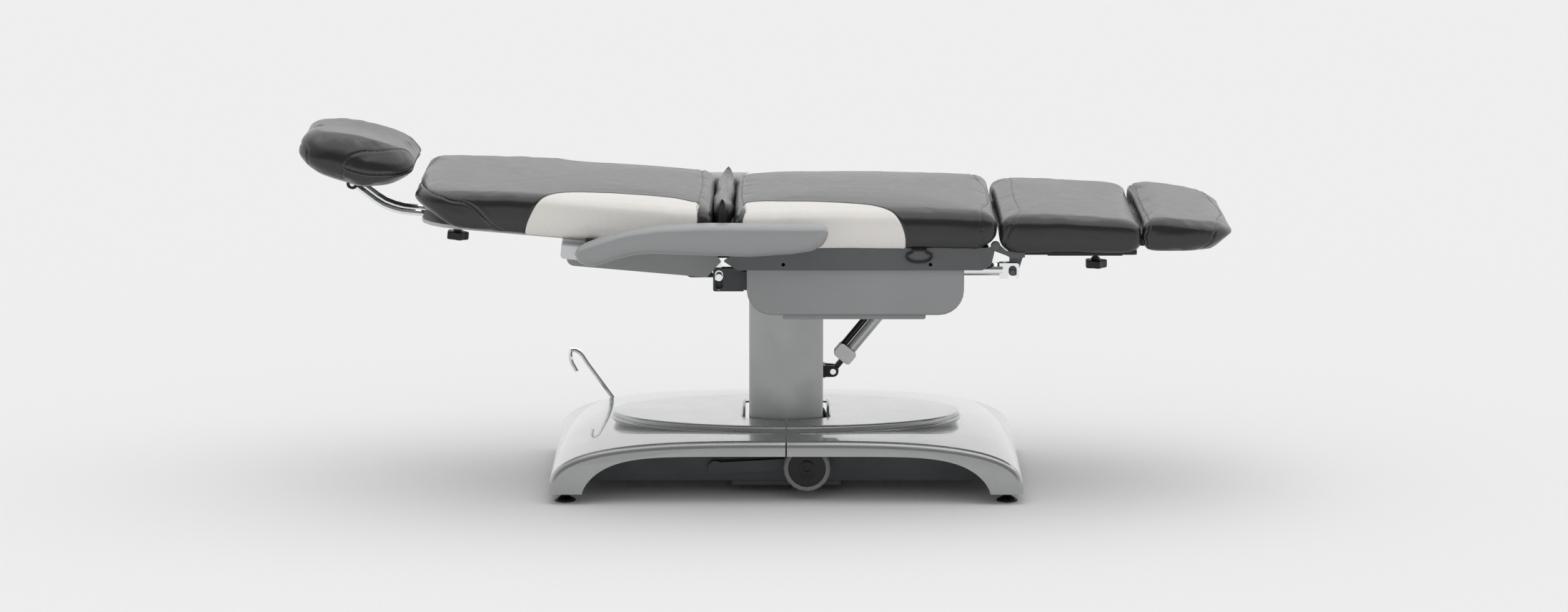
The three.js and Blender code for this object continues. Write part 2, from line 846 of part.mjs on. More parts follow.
place("column_moving_tube", cut(
  join(
    cut(
      slabXY(columnShape(0, 0, columnRound), outerLow, outerTop),
      slabXY(
        columnShape(-columnWall, -columnWall, columnRound - columnWall), outerLow - overrun,
        outerTop + overrun,
      ),
    ),
    slabXY(columnShape(0, 0, columnRound), outerTop - headCut, headTop),
    ear(-1),
    ear(1),
  ),
  rodY(tiltShaft + gap, 0, tiltZ, -earMid - earThick, earMid + earThick, 20),
), columnGrey);

// Wheel carriage and wheels
const carriageArm = (sign) => {
  const [y0, y1] = sided(sign, carriageArmIn, carriageArmOut);
  return join(
    slabXZ(new THREE.Shape([
      new THREE.Vector2(carriageX, carriageZ - carriageArmHalf),
      new THREE.Vector2(wheelX, wheelZ - carriageArmHalf),
      new THREE.Vector2(wheelX, wheelZ + carriageArmHalf),
      new THREE.Vector2(carriageX, carriageZ + carriageArmHalf),
    ]), y0, y1),
    rodY(carriageHub, carriageX, carriageZ, y0, y1),
    rodY(carriageArmHalf, wheelX, wheelZ, y0, y1),
    sign > 0
      ? rodY(axleRadius, wheelX, wheelZ, y0, wheelY + wheelWidth / 2 - hubEnd)
      : rodY(axleRadius, wheelX, wheelZ, -wheelY - wheelWidth / 2 + hubEnd, y1),
  );
};
const crankAngle = THREE.MathUtils.degToRad(-crankDrop);
const crankX = leverX + crankReach * Math.cos(crankAngle);
const crankZ = leverZ + crankReach * Math.sin(crankAngle);
const tailLow = crankZ + crankPin + crankFree;
const [tailY0, tailY1] = [tailMid - tailWide / 2, tailMid + tailWide / 2];
place("wheel_carriage", join(
  rodY(carriageShaft, carriageX, carriageZ, -carriageArmIn - overrun, carriageArmIn + overrun),
  carriageArm(-1),
  carriageArm(1),
  rodY(carriageHub, carriageX, carriageZ, tailY0, tailY1),
  slabXZ(outline([
    [crankX - tailEnd, tailLow, tailHalf / 2], [carriageX, tailLow - tailHalf / 2],
    [carriageX, tailLow + 2 * tailHalf],
    [crankX - tailEnd, tailLow + 2 * tailHalf, tailHalf],
  ]), tailY0, tailY1),
), frameSteel);
[["near", -1], ["far", 1]].forEach(([side, sign]) => {
  const inner = wheelRadius - tyreDepth;
  const half = wheelWidth / 2;
  const tyreProfile = [
    [inner, -half], [wheelRadius - tyreRound, -half], [wheelRadius - tyreRound / 3, -half + tyreRound / 3],
    [wheelRadius, -half + tyreRound], [wheelRadius, half - tyreRound],
    [wheelRadius - tyreRound / 3, half - tyreRound / 3], [wheelRadius - tyreRound, half], [inner, half],
    [inner, -half],
  ];
  const spin = (profile) => new THREE.LatheGeometry(profile.map(([r, y]) => new THREE.Vector2(r, y)), 20);
  const tyre = place(`wheel_tyre_${side}`, spin(tyreProfile), tyreRubber);
  const rim = inner - gap;
  const hubProfile = [
    [0, -half + hubFace + hubDish / 2], [hubHex, -half + hubFace + hubDish / 2],
    [rim - hubDish, -half + hubFace],
    [rim, -half + hubFace], [rim, half - hubFace], [rim - hubDish, half - hubFace],
    [hubHex + hubDish, half - hubFace - hubDish / 4], [hubHex + hubDish / 2, half - hubFace],
    [0, half - hubFace],
  ];
  const hubShape = cut(
    spin(hubProfile),
    rodY(axleRadius + gap, 0, 0, -half - overrun, half - hubEnd + gap),
    rodY(hubHex, 0, 0, half - hubFace - hubHexDeep, half + overrun, 6),
  );
  const hub = place(`wheel_hub_${side}`, hubShape, blackPlastic);
  [tyre, hub].forEach((mesh) => {
    mesh.position.set(wheelX, sign * wheelY, wheelZ);
    mesh.rotation.x = sign > 0 ? 0 : Math.PI;
  });
});

// Wheel lever: shaft through the far rail, crank under the carriage tail, bent rod outside the cover
const leanAngle = THREE.MathUtils.degToRad(leverLean);
const lean = new THREE.Vector3(Math.cos(leanAngle), 0, Math.sin(leanAngle));
const leverRoot = new THREE.Vector3(leverX, leverMid, leverZ);
const leverTip = leverRoot.clone().addScaledVector(lean, leverReach);
const crankY = tailY1 + crankFree;
place("wheel_lever", join(
  rodY(leverShaft, leverX, leverZ, crankY, leverMid + leverRod, 12),
  rodY(crankEye, leverX, leverZ, crankY, crankY + crankThick, 16),
  slabXZ(outline([
    [leverX, leverZ - crankPin], [crankX, crankZ - crankPin], [crankX, crankZ + crankPin],
    [leverX, leverZ + crankPin],
  ]), crankY, crankY + crankThick),
  rodY(crankPin, crankX, crankZ, tailY0, crankY + crankThick, 16),
  tube(
    [
      leverRoot.clone().addScaledVector(lean, -leverRod), leverRoot,
      leverTip.clone().addScaledVector(lean, -leverBack),
    ],
    leverRod, 8, 3,
  ),
  tube([
    leverTip.clone().addScaledVector(lean, -leverBack - leverRod),
    leverTip,
    leverTip.clone().add(new THREE.Vector3(-leverHook, 0, leverRod)),
    leverTip.clone().add(new THREE.Vector3(-leverHook, 0, -leverHook)),
    leverTip.clone().add(new THREE.Vector3(-leverRod, 0, -leverReturn + leverRod)),
  ], leverRod, 8, 10),
), chrome);

// Seat plates, board and tilt shaft
const backPinReach = seatPlateY + seatPlateThick + gap;
const seatPlate = (sign) => {
  const [y0, y1] = sided(sign, seatPlateY, seatPlateY + seatPlateThick);
  const body = slabXZ(outline([
    [seatPlateNose - seatPlateTail, seatPlateLow + seatPlateNoseHigh, seatPlateRound / 3],
    [seatPlateNose, seatPlateLow + seatPlateNoseLow, seatPlateRound],
    [seatPlateNose + seatPlateRound, seatPlateLow],
    [seatPlateEnd - seatPlateCut, seatPlateLow, seatPlateRound],
    [seatPlateEnd, seatPlateLow + seatPlateCutHigh, seatPlateRound],
    [seatPlateEnd + legBoss / 2, legZ - 2 * legBoss], [legX, legZ], [seatPlateEnd - legBoss, seatPlateTop],
    [seatPlateNose + seatPlateRise, seatPlateTop, seatPlateRound],
  ]), y0, y1);
  const holes = plateHoleX.map((x) => rodY(plateHoleRadius, x, plateHoleZ, y0 - overrun, y1 + overrun, 12));
  return cut(
    join(body, rodY(legBoss, legX, legZ, y0, y1, 20)),
    rodY(hingePin + gap, legX, legZ, y0 - overrun, y1 + overrun, 12),
    ...holes,
  );
};
place("seat_plate_near", seatPlate(-1), plateGrey);
place("seat_plate_far", seatPlate(1), plateGrey);
place("tilt_shaft", rodY(tiltShaft, 0, tiltZ, -seatPlateY + gap, seatPlateY - gap, 20), frameSteel);
const rectangle = (x0, x1, half, round) => outline([
  [x0, -half, round], [x1, -half, round], [x1, half, round], [x0, half, round],
]);
const clevis = (sign) => {
  const [y0, y1] = sided(sign, earGap, earGap + earWall);
  return slabXZ(outline([
    [tiltHighX - driveEye, tiltHighZ - driveEye, driveEye],
    [tiltHighX + driveEye, tiltHighZ - driveEye, driveEye],
    [tiltHighX + driveEye, seatBoardLow + seatBoardThick / 2],
    [tiltHighX - driveEye, seatBoardLow + seatBoardThick / 2],
  ], 6), y0, y1);
};
// Each hinge arm hangs from the board, runs under the swing of the back and rises to its hinge
const backArm = (sign) => {
  const [y0, y1] = sided(sign, backArmY, backArmY + backArmThick);
  const low = backZ - backArmDrop - backArmHigh;
  const root = backX + backArmRise;
  return join(
    cut(
      slabXZ(outline([
        [backX - backBoss, backZ], [backX - backArmHead, low, backArmRound],
        [root + backArmWide, low, backArmRound],
        [root + backArmWide, seatBoardLow + seatBoardThick / 2], [root, seatBoardLow + seatBoardThick / 2],
        [root, low + backArmHigh, backArmRound], [backX + backArmFoot, low + backArmHigh, backArmRound / 2],
        [backX + backArmFoot, backZ],
      ]), y0, y1),
    ),
    rodY(backBoss, backX, backZ, y0, y1, 16),
  );
};
place("seat_board", join(
  cut(
    join(backArm(-1), backArm(1)),
    rodY(hingePin + gap, backX, backZ, -backArmY - 2 * backArmThick, backArmY + 2 * backArmThick, 16),
  ),
  slabXY(
    rectangle(seatBoardHead, seatBoardFoot, seatPlateY - gap, boardRound), seatBoardLow,
    seatBoardLow + seatBoardThick,
  ),
  clevis(-1),
  clevis(1),
  rodY(drivePin, tiltHighX, tiltHighZ, -earGap - earWall, earGap + earWall, 12),
), boardBlack);

// Motor casing and tray
const columnBay = (z0, z1) => block(
  casingHead - overrun, casingColumnEnd, -casingColumnHalf, casingColumnHalf, z0, z1,
);
const driveSlot = (z0, z1) => block(casingSlotHead, casingSlotFoot, -casingSlotHalf, casingSlotHalf, z0, z1);
const casingProfile = (inset, top) => outline([
  [casingHead + inset, casingLow + inset, casingRound - inset],
  [casingFoot - inset, casingLow + inset, casingRound - inset],
  [casingFoot - inset, top], [casingHead + inset, top],
], 6);
const casingHalf = seatPlateY - gap;
place("motor_casing", cut(
  slabXZ(casingProfile(0, casingTop), -casingHalf, casingHalf),
  slabXZ(casingProfile(casingWall, casingTop + overrun), -casingHalf + casingWall, casingHalf - casingWall),
  block(
    casingHead - overrun, casingHead + casingRound / 2, -casingNotchHalf, casingNotchHalf,
    casingLow + casingNotchLow, casingTop + overrun,
  ),
  columnBay(casingLow - overrun, casingTop + overrun),
  driveSlot(casingLow - overrun, casingLow + casingWall + overrun),
  block(
    casingFoot - casingWall - overrun, casingFoot + overrun, -legDriveY - casingPortHalf,
    -legDriveY + casingPortHalf,
    legTubeZ - casingPortHalf, casingTop + overrun,
  ),
), casingGrey);
const trayTop = casingLow - gap;
place("casing_tray", cut(
  join(
    slabXZ(outline([
      [trayHead, trayTop - trayThick, trayEdge], [trayFoot, trayTop - trayThick, trayEdge],
      [trayFoot, trayTop], [trayHead, trayTop],
    ]), -trayHalf, trayHalf),
    slabXZ(outline([
      [trayWedgeHead, trayTop - trayThick], [trayWedgeHead + trayEdge, trayTop - trayThick - trayWedgeDeep],
      [trayWedgeFoot, trayTop - trayThick], [trayWedgeFoot, trayTop - trayThick / 2],
      [trayWedgeHead, trayTop - trayThick / 2],
    ]), -trayHalf / 2, trayHalf / 2),
  ),
  columnBay(trayTop - 3 * trayThick, trayTop + overrun),
  driveSlot(trayTop - 3 * trayThick, trayTop + overrun),
), casingGrey);

// Tilt drive: bracket on the column, motor with guide tube, rod up to the clevis of the seat
const bracketEar = (sign) => {
  const [y0, y1] = sided(sign, earGap, earGap + earWall);
  const x0 = columnHalfX + gap + bracketPlate / 2;
  return slabXZ(outline([
    [x0, tiltLowZ - bracketLow], [tiltLowX + bracketLow, tiltLowZ - bracketLow, bracketLow],
    [tiltLowX + bracketLow, tiltLowZ + bracketLow, bracketLow], [x0, tiltLowZ + bracketHigh],
  ]), y0, y1);
};
place("tilt_bracket", join(
  block(
    columnHalfX + gap, columnHalfX + gap + bracketPlate, -bracketHalf, bracketHalf,
    tiltLowZ - bracketLow, tiltLowZ + bracketHigh,
  ),
  bracketEar(-1),
  bracketEar(1),
  rodY(drivePin, tiltLowX, tiltLowZ, -earGap - earWall, earGap + earWall, 16),
), blackPlastic);
const tiltLength = Math.hypot(tiltHighX - tiltLowX, tiltHighZ - tiltLowZ);
const tiltDrive = new THREE.Group();
tiltDrive.position.set(tiltLowX, 0, tiltLowZ);
tiltDrive.rotation.y = -Math.atan2(tiltHighZ - tiltLowZ, tiltHighX - tiltLowX);
couch.add(tiltDrive);
const eyeHalf = earGap - gap;
const collarEnd = collarStart + collarLong;
const collar = slabXZ(outline([
  [collarStart, -collarHalf, boardRound], [collarEnd, -collarHalf, boardRound],
  [collarEnd, motorShift + motorRadius, boardRound], [collarStart, motorShift + motorRadius, boardRound],
]), -collarHalf, collarHalf);
place("tilt_motor", cut(
  join(
    rodY(driveEye, 0, 0, -eyeHalf, eyeHalf),
    block(0, collarStart + boardRound, -eyeHalf, eyeHalf, -driveEye / 2, driveEye / 2),
    collar,
    rodX(motorRadius, 0, motorShift, collarStart + boardRound, motorEnd, 24),
  ),
  rodY(drivePin + gap, 0, 0, -eyeHalf - overrun, eyeHalf + overrun, 16),
), blackPlastic, tiltDrive);
place("tilt_guide_tube", cut(
  rodX(guideRadius - 2 * gap, 0, 0, collarEnd + gap, guideEnd, 24),
  rodX(rodRadius + slideGap, 0, 0, collarEnd - overrun, guideEnd + overrun, 24),
), lightAlloy, tiltDrive);
place("tilt_rod", cut(
  join(
    rodX(rodRadius, 0, 0, rodStart, tiltLength - drivePin - eyePlay, 20),
    rodY(driveEye, tiltLength, 0, -eyeHalf, eyeHalf, 24),
  ),
  rodY(drivePin + eyePlay, tiltLength, 0, -eyeHalf - overrun, eyeHalf + overrun, 16),
), chrome, tiltDrive);

// Back drive
const barLow = barMid - barHigh;
const barTop = barMid + barHigh;
const forkSide = (sign) => {
  const mid = -backDriveY + sign * (forkInner + forkPlate / 2);
  const [z0, z1] = [backPinZ - forkSlotDown, backPinZ + forkSlotUp];
  return cut(
    slabXZ(outline([
      [backPinX - forkSlot - forkWeb, z0 - forkWebLow, forkWeb], [backPinX + forkHead, z0 - forkWebLow],
      [backPinX + forkHead, z1 + forkWeb], [backPinX - forkSlot - forkWeb, z1 + forkWeb, forkWeb],
    ]), mid - forkPlate / 2, mid + forkPlate / 2),
    slabXZ(outline([
      [backPinX - forkSlot, z0, forkSlot], [backPinX + forkSlot, z0, forkSlot],
      [backPinX + forkSlot, z1, forkSlot], [backPinX - forkSlot, z1, forkSlot],
    ]), mid - forkPlate, mid + forkPlate),
  );
};
place("back_rod_fork", join(
  forkSide(-1),
  forkSide(1),
  block(
    backPinX + forkThroat, backPinX + forkHead, -backDriveY - forkInner - forkPlate,
    -backDriveY + forkInner + forkPlate,
    barLow, barTop,
  ),
  block(backPinX + forkHead - forkWeb, barEnd, -backDriveY - barHalf, -backDriveY + barHalf, barLow, barTop),
), frameSteel);
const boxInner = barHalf + slideGap;
const boxOuter = boxInner + driveBoxWall;
place("back_drive", join(
  cut(
    block(
      driveBoxHead, driveBoxFoot, -backDriveY - boxOuter, -backDriveY + boxOuter,
      barLow - slideGap - driveBoxWall, barTop + slideGap + driveBoxWall,
    ),
    block(
      driveBoxHead - overrun, driveBoxFoot - driveBoxWall, -backDriveY - boxInner, -backDriveY + boxInner,
      barLow - slideGap, barTop + slideGap,
    ),
  ),
  block(
    hangerHead, hangerFoot, -backDriveY - hangerHalf, -backDriveY + hangerHalf,
    barTop + slideGap + driveBoxWall / 2, seatBoardLow - gap,
  ),
), blackPlastic);

// Leg drive
place("leg_drive", join(
  cut(
    block(
      legBoxHead, legBoxFoot, -legDriveY - legBoxHalf, -legDriveY + legBoxHalf, legTubeZ - legBoxHalf,
      legTubeZ + legBoxHalf,
    ),
    rodX(legTubeRadius + slideGap, -legDriveY, legTubeZ, legBoxHead + driveBoxWall, legBoxFoot + overrun, 24),
  ),
  block(
    legHangerHead, legHangerFoot, -legDriveY - hangerHalf, -legDriveY + hangerHalf,
    legTubeZ + legBoxHalf - hangerHalf / 2, seatBoardLow - gap,
  ),
), blackPlastic);
const legForkSide = (sign) => {
  const mid = -legDriveY + sign * (legForkInner + legForkPlate / 2);
  const top = legPinZ + legForkUp + legForkWeb;
  return cut(
    slabXZ(outline([
      [legPinX - legForkHead - hangerHalf, legPinZ - legForkLow],
      [legPinX + legForkHead, legPinZ - legForkLow, legForkWeb],
      [legPinX + legForkHead, top, legForkWeb], [legPinX - legForkHead - hangerHalf, top, legForkWeb],
    ]), mid - legForkPlate / 2, mid + legForkPlate / 2),
    slabXZ(outline([
      [legPinX - legForkSlot, legPinZ - 2 * legForkLow], [legPinX + legForkSlot, legPinZ - 2 * legForkLow],
      [legPinX + legForkSlot, legPinZ + legForkUp, legForkSlot],
      [legPinX - legForkSlot, legPinZ + legForkUp, legForkSlot],
    ]), mid - legForkPlate, mid + legForkPlate),
  );
};
const legForkOuter = legForkInner + legForkPlate;
const legBlockFoot = legPinX - legForkHead;
place("leg_rod", join(
  rodX(legTubeRadius, -legDriveY, legTubeZ, legTubeStart, legBlockFoot - legForkBlock / 2, 24),
  block(
    legBlockFoot - legForkBlock, legBlockFoot, -legDriveY - legForkOuter, -legDriveY + legForkOuter,
    legPinZ - legForkLow, legPinZ + legForkUp + legForkWeb,
  ),
  legForkSide(-1),
  legForkSide(1),
), chrome);

// Back section, built level and raised about its hinge
const back = new THREE.Group();
back.position.set(backX, 0, backZ);
back.rotation.y = THREE.MathUtils.degToRad(backRest);
couch.add(back);
const toBack = (x, z) => {
  const angle = THREE.MathUtils.degToRad(backRest);
  const [dx, dz] = [x - backX, z - backZ];
  return [dx * Math.cos(angle) - dz * Math.sin(angle), dx * Math.sin(angle) + dz * Math.cos(angle)];
};
place("back_board", cut(slabXY(outline([
  [backBoardHead, -backBoardHalf, backPad.cornerHead], [backBoardStep, -backBoardHalf],
  [backBoardStep + boardRound, -backBoardWide],
  [backBoardFoot, -backBoardWide, boardRound], [backBoardFoot, backBoardWide, boardRound],
  [backBoardStep + boardRound, backBoardWide],
  [backBoardStep, backBoardHalf], [backBoardHead, backBoardHalf, backPad.cornerHead],
]), boardUp, boardUp + boardThick), ...[-1, 1].map((sign) => {
  const mid = sign * (backArmY + backArmThick / 2);
  return block(
    -backBoss - 2 * hingePlateGap, backBoss + backArmRound / 2,
    mid - backArmThick / 2 - hingePlateGap - (sign > 0 ? pinHeadThick : 0),
    mid + backArmThick / 2 + hingePlateGap + (sign < 0 ? pinHeadThick : 0), 0, boardUp + boardThick + overrun,
  );
})), boardLight, back);
const underBoard = boardUp - gap;
[["near", -1], ["far", 1]].forEach(([side, sign]) => {
  const inner = backArmY + backArmThick + hingePlateGap;
  const outer = inner + hingePlateThick;
  const tip = backArmY - gap - pinHeadThick;
  const span = (inner, outer) => sided(sign, inner, outer);
  place(`back_hinge_plate_${side}`, join(
    slabXZ(outline([
      [hingePlateHead, underBoard - backBoss / 2], [0, -hingePlateLow, backBoss],
      [hingePlateFoot, -hingePlateLow, backBoss],
      [hingePlateFoot, underBoard], [hingePlateHead, underBoard],
    ]), ...span(inner, outer)),
    rodY(hingePin, 0, 0, ...span(tip, inner + gap), 16),
    rodY(pinHead, 0, 0, ...span(tip, backArmY - gap), 16),
  ), plateGrey, back);
});
const housingCorners = (inset, deep) => [
  [housingHead + inset, -housingLow + inset, housingRound], [housingEndLow + deep, -housingLow + inset],
  [housingEndHigh + deep, -housingLow + housingEndRise + inset], [housingEndHigh + deep, underBoard + deep],
  [housingHead + inset, underBoard + deep],
];
const housingProfile = (inset, deep) => outline(housingCorners(inset, deep));
const rimAngle = Math.atan2(housingEndRise, housingEndHigh - housingEndLow);
const rimLength = Math.hypot(housingEndRise, housingEndHigh - housingEndLow);
const housingEndCut = slabXZ(new THREE.Shape([
  new THREE.Vector2(housingEndHigh, -housingLow + housingEndRise),
  new THREE.Vector2(housingEndHigh + 3 * housingRim, -housingLow + housingEndRise),
  new THREE.Vector2(housingEndHigh + 3 * housingRim, underBoard + overrun),
  new THREE.Vector2(housingEndLow, underBoard + overrun),
  new THREE.Vector2(housingEndLow, -housingLow + 2 * housingEndRise),
]), -housingHalf - overrun, housingHalf + overrun);
const rim = (sign) => {
  const [y0, y1] = sided(sign, housingHalf - housingRimDeep, housingHalf);
  const strip = block(0, rimLength, y0, y1, 0, housingRim);
  return strip.rotateY(-rimAngle).translate(housingEndLow, 0, -housingLow);
};
const housingOuter = slabXZ(housingProfile(0, 0), -housingHalf, housingHalf);
place("back_housing", cut(
  join(
    cut(
      housingOuter,
      slabXZ(housingProfile(housingWall, 2 * overrun), -housingHalf + housingWall, housingHalf - housingWall),
    ),
    common(join(rim(-1), rim(1)), housingOuter),
  ),
  housingEndCut,
  block(
    housingHead - overrun, carrierFoot + gap, -housingHalf - overrun, housingHalf + overrun,
    -carrierLow - gap, underBoard + overrun,
  ),
  ...[-1, 1].map((sign) => block(
    housingSlotFoot, housingEndHigh + overrun, sign * (backArmY + backArmThick / 2) - backArmThick,
    sign * (backArmY + backArmThick / 2) + backArmThick, -housingLow - overrun, -housingLow + 2 * housingWall,
  )),
  block(
    housingNotchFoot, housingEndHigh + overrun, -backDriveY - housingNotchHalf,
    -backDriveY + housingNotchHalf,
    -housingLow - overrun, -housingLow + 2 * housingWall,
  ),
), casingGrey, back);
const [pinU, pinW] = toBack(backPinX, backPinZ);
place("back_lever", join(
  slabXZ(outline([
    [leverArmHead, underBoard], [pinU - leverArmEye, pinW, boardRound],
    [pinU - leverArmEye, pinW - leverArmEye, leverArmEye],
    [pinU + leverArmEye, pinW - leverArmEye, leverArmEye],
    [pinU + leverArmEye, pinW + leverArmEye, boardRound],
    [leverArmFoot, underBoard],
  ]), -backDriveY - leverArmHalf, -backDriveY + leverArmHalf),
  rodY(
    leverPin, pinU, pinW, -backDriveY - forkInner - forkPlate - gap - leverPinHeadThick,
    -backDriveY + forkInner + forkPlate, 16,
  ),
  rodY(
    leverPinHead, pinU, pinW,
    -backDriveY - forkInner - forkPlate - 2 * gap - leverPinHeadThick,
    -backDriveY - forkInner - forkPlate - 2 * gap, 20,
  ),
), chrome, back);
const carrierTop = underBoard;
const carrier = cut(
  slabXZ(outline([
    [carrierHead, -carrierLow, boardRound], [carrierFoot, -carrierLow, boardRound],
    [carrierFoot, carrierTop], [carrierHead, carrierTop],
  ]), -carrierHalf, carrierHalf),
  ...[-1, 1].flatMap((sign) => {
    const [y0, y1] = sided(sign, carrierEnd, carrierHalf + gap);
    return [
      block(
        carrierHead - overrun, carrierFoot + overrun, y0, y1,
        armPivotRadius + gap - 2 * carrierStep - carrierStep / 2, carrierTop + overrun,
      ),
      rodZ(armKnobStem + gap, armKnobX, sign * armKnobY, -armKnobDeep - gap, carrierTop, 12),
    ];
  }),
);
place("arm_carrier", join(
  carrier,
  rodY(armPivotRadius, armPivot, 0, -carrierHalf - armPivotReach, -carrierHalf + overrun, 20),
  rodY(armPivotRadius, armPivot, 0, carrierHalf - overrun, carrierHalf + armPivotReach, 20),
), lightAlloy, back);
const carrierSeat = armPivotRadius + gap - 2 * carrierStep - carrierStep / 2;
const ribbedKnob = (radius, high, ribs, deep) => {
  const points = [];
  for (let i = 0; i < 2 * ribs; i += 1) {
    const angle = (Math.PI * i) / ribs;
    const r = radius - (i % 2) * deep;
    points.push(new THREE.Vector2(r * Math.cos(angle), r * Math.sin(angle)));
  }
  return slabXY(new THREE.Shape(points), 0, high);
};
[["near", -1], ["far", 1]].forEach(([side, sign]) => {
  const low = carrierSeat + gap;
  const knob = place(`arm_knob_${side}`, join(
    ribbedKnob(armKnobRadius, armKnobHigh, 18, armKnobRib),
    rodZ(armKnobStem, 0, 0, -armKnobDeep - low, armKnobHigh / 2, 12),
  ), blackPlastic, back);
  knob.position.set(armKnobX, sign * armKnobY, low);
});

// Cushions: rings with a drawn-in foot, full sides, a rounded upper edge and a low crown
const padRing = (x0, x1, halfY, roundHead, roundFoot, height) => {
  const points = [];
  const corner = (x, y, r, from) => {
    const steps = 3;
    for (let k = 0; k <= steps; k += 1) {
      const angle = from + (Math.PI / 2) * (k / steps);
      points.push([x + r * Math.cos(angle), y + r * Math.sin(angle)]);
    }
  };
  const side = (ax, ay, bx, by, count) => {
    for (let k = 1; k <= count; k += 1) {
      const t = k / (count + 1);
      points.push([ax + (bx - ax) * t, ay + (by - ay) * t]);
    }
  };
  const rh = Math.max(Math.min(roundHead, halfY / 2, (x1 - x0) / 2.2), weld);
  const rf = Math.max(Math.min(roundFoot, halfY / 2, (x1 - x0) / 2.2), weld);
  corner(x1 - rf, halfY - rf, rf, 0);
  side(x1 - rf, halfY, x0 + rh, halfY, 4);
  corner(x0 + rh, halfY - rh, rh, Math.PI / 2);
  side(x0, halfY - rh, x0, -halfY + rh, 2);
  corner(x0 + rh, -halfY + rh, rh, Math.PI);
  side(x0 + rh, -halfY, x1 - rf, -halfY, 4);
  corner(x1 - rf, -halfY + rf, rf, 1.5 * Math.PI);
  side(x1, -halfY + rf, x1, halfY - rf, 2);
  return points.map(([x, y]) => new THREE.Vector3(x, y, height));
};
const padLevels = [0, 0.1, 0.26, 0.48, 0.68, 0.81, 0.9, 0.965, 1];
const padCrowns = [0.86, 0.5];
const cushion = (pad, shift) => {
  const tuck = ([reach, rise, power], h) => reach * Math.max(0, 1 - h / rise) ** power;
  const round = (h) => {
    const left = Math.max(pad.edge - (pad.thick - h), 0);
    return pad.edge - Math.sqrt(pad.edge ** 2 - left ** 2);
  };
  const length = pad.foot - pad.head;
  const ringAt = (level) => {
    const h = level * pad.thick;
    const over = 0.5 * round(h);
    const tucks = [pad.tuckHead, pad.tuckFoot, pad.tuckSide].map((table) => tuck(table, h));
    const [head, foot, side] = tucks.map((t) => t + round(h));
    return padRing(
      pad.head + head, pad.foot - foot, pad.half - side,
      pad.cornerHead - over, pad.cornerFoot - over, level,
    );
  };
  const middle = (pad.head + pad.foot) / 2;
  const shrink = (ring, share, level) => ring.map((p) => (
    new THREE.Vector3(middle + (p.x - middle) * share, p.y * share, level)
  ));
  const low = ringAt(0);
  const high = ringAt(1);
  const crownLevel = (share) => 1 + (pad.crown / pad.thick) * (1 - share * share);
  const rings = [
    shrink(low, 0.5, 0),
    ...padLevels.map(ringAt),
    ...padCrowns.map((share) => shrink(high, share, crownLevel(share))),
  ];
  return loft(rings.map((ring) => ring.map((p) => {
    const t = (p.x - pad.head) / length;
    const low = pad.low + pad.thick * along(pad.lowShares, t);
    const top = pad.low + pad.thick * along(pad.topShares, t);
    const z = low + (top - low) * p.z;
    return new THREE.Vector3(p.x, p.y, shift ? shift(p, z, t) : z);
  })));
};
place("seat_cushion", cushion(seatPad), upholstery);
place("back_cushion", cushion(backPad), upholstery, back);

// Gap bolster: a limp roll between the back and the seat
const bolsterRing = (y, share) => {
  const ring = [];
  const count = 16;
  for (let i = 0; i < count; i += 1) {
    const angle = (2 * Math.PI * i) / count;
    const rise = (1 + Math.sin(angle)) / 2;
    const width = (bolsterThick / 2) * (1 - 0.55 * rise ** 2) * share;
    const x = bolsterHead + bolsterThick / 2 + width * Math.cos(angle);
    const z = bolsterLow + bolsterHigh / 2 + (bolsterHigh / 2) * (0.75 + 0.25 * share) * Math.sin(angle);
    ring.push(new THREE.Vector3(x, y, z));
  }
  return ring;
};
const bolsterShares = [
  [-1, 0.18], [-0.97, 0.5], [-0.9, 0.8], [-0.7, 1], [0, 1], [0.7, 1], [0.9, 0.8], [0.97, 0.5], [1, 0.18],
];
const bolsterShape = toSolid(loft(bolsterShares.map(([y, share]) => bolsterRing(-y * bolsterHalf, share))));
place("gap_bolster", bolsterShape, upholstery);

// Pull loop
const loopPoint = (dx, dz) => new THREE.Vector3(loopX + dx, -loopY, loopTop - dz);
place("pull_loop", join(
  tube([
    loopPoint(-loopNeck, loopWire), loopPoint(-loopNeck, loopNeckDrop),
    loopPoint(-loopHalf, loopDrop / 2), loopPoint(-loopHalf * 0.8, loopDrop * 0.85),
    loopPoint(0, loopDrop), loopPoint(loopHalf * 0.8, loopDrop * 0.85), loopPoint(loopHalf, loopDrop / 2),
    loopPoint(loopNeck, loopNeckDrop), loopPoint(loopNeck, loopWire),
  ], loopWire, 6, 18),
  rodX(loopWire, -loopY, loopTop - loopWire, loopX - loopNeck - loopWire, loopX + loopNeck + loopWire, 8),
), blackPlastic);

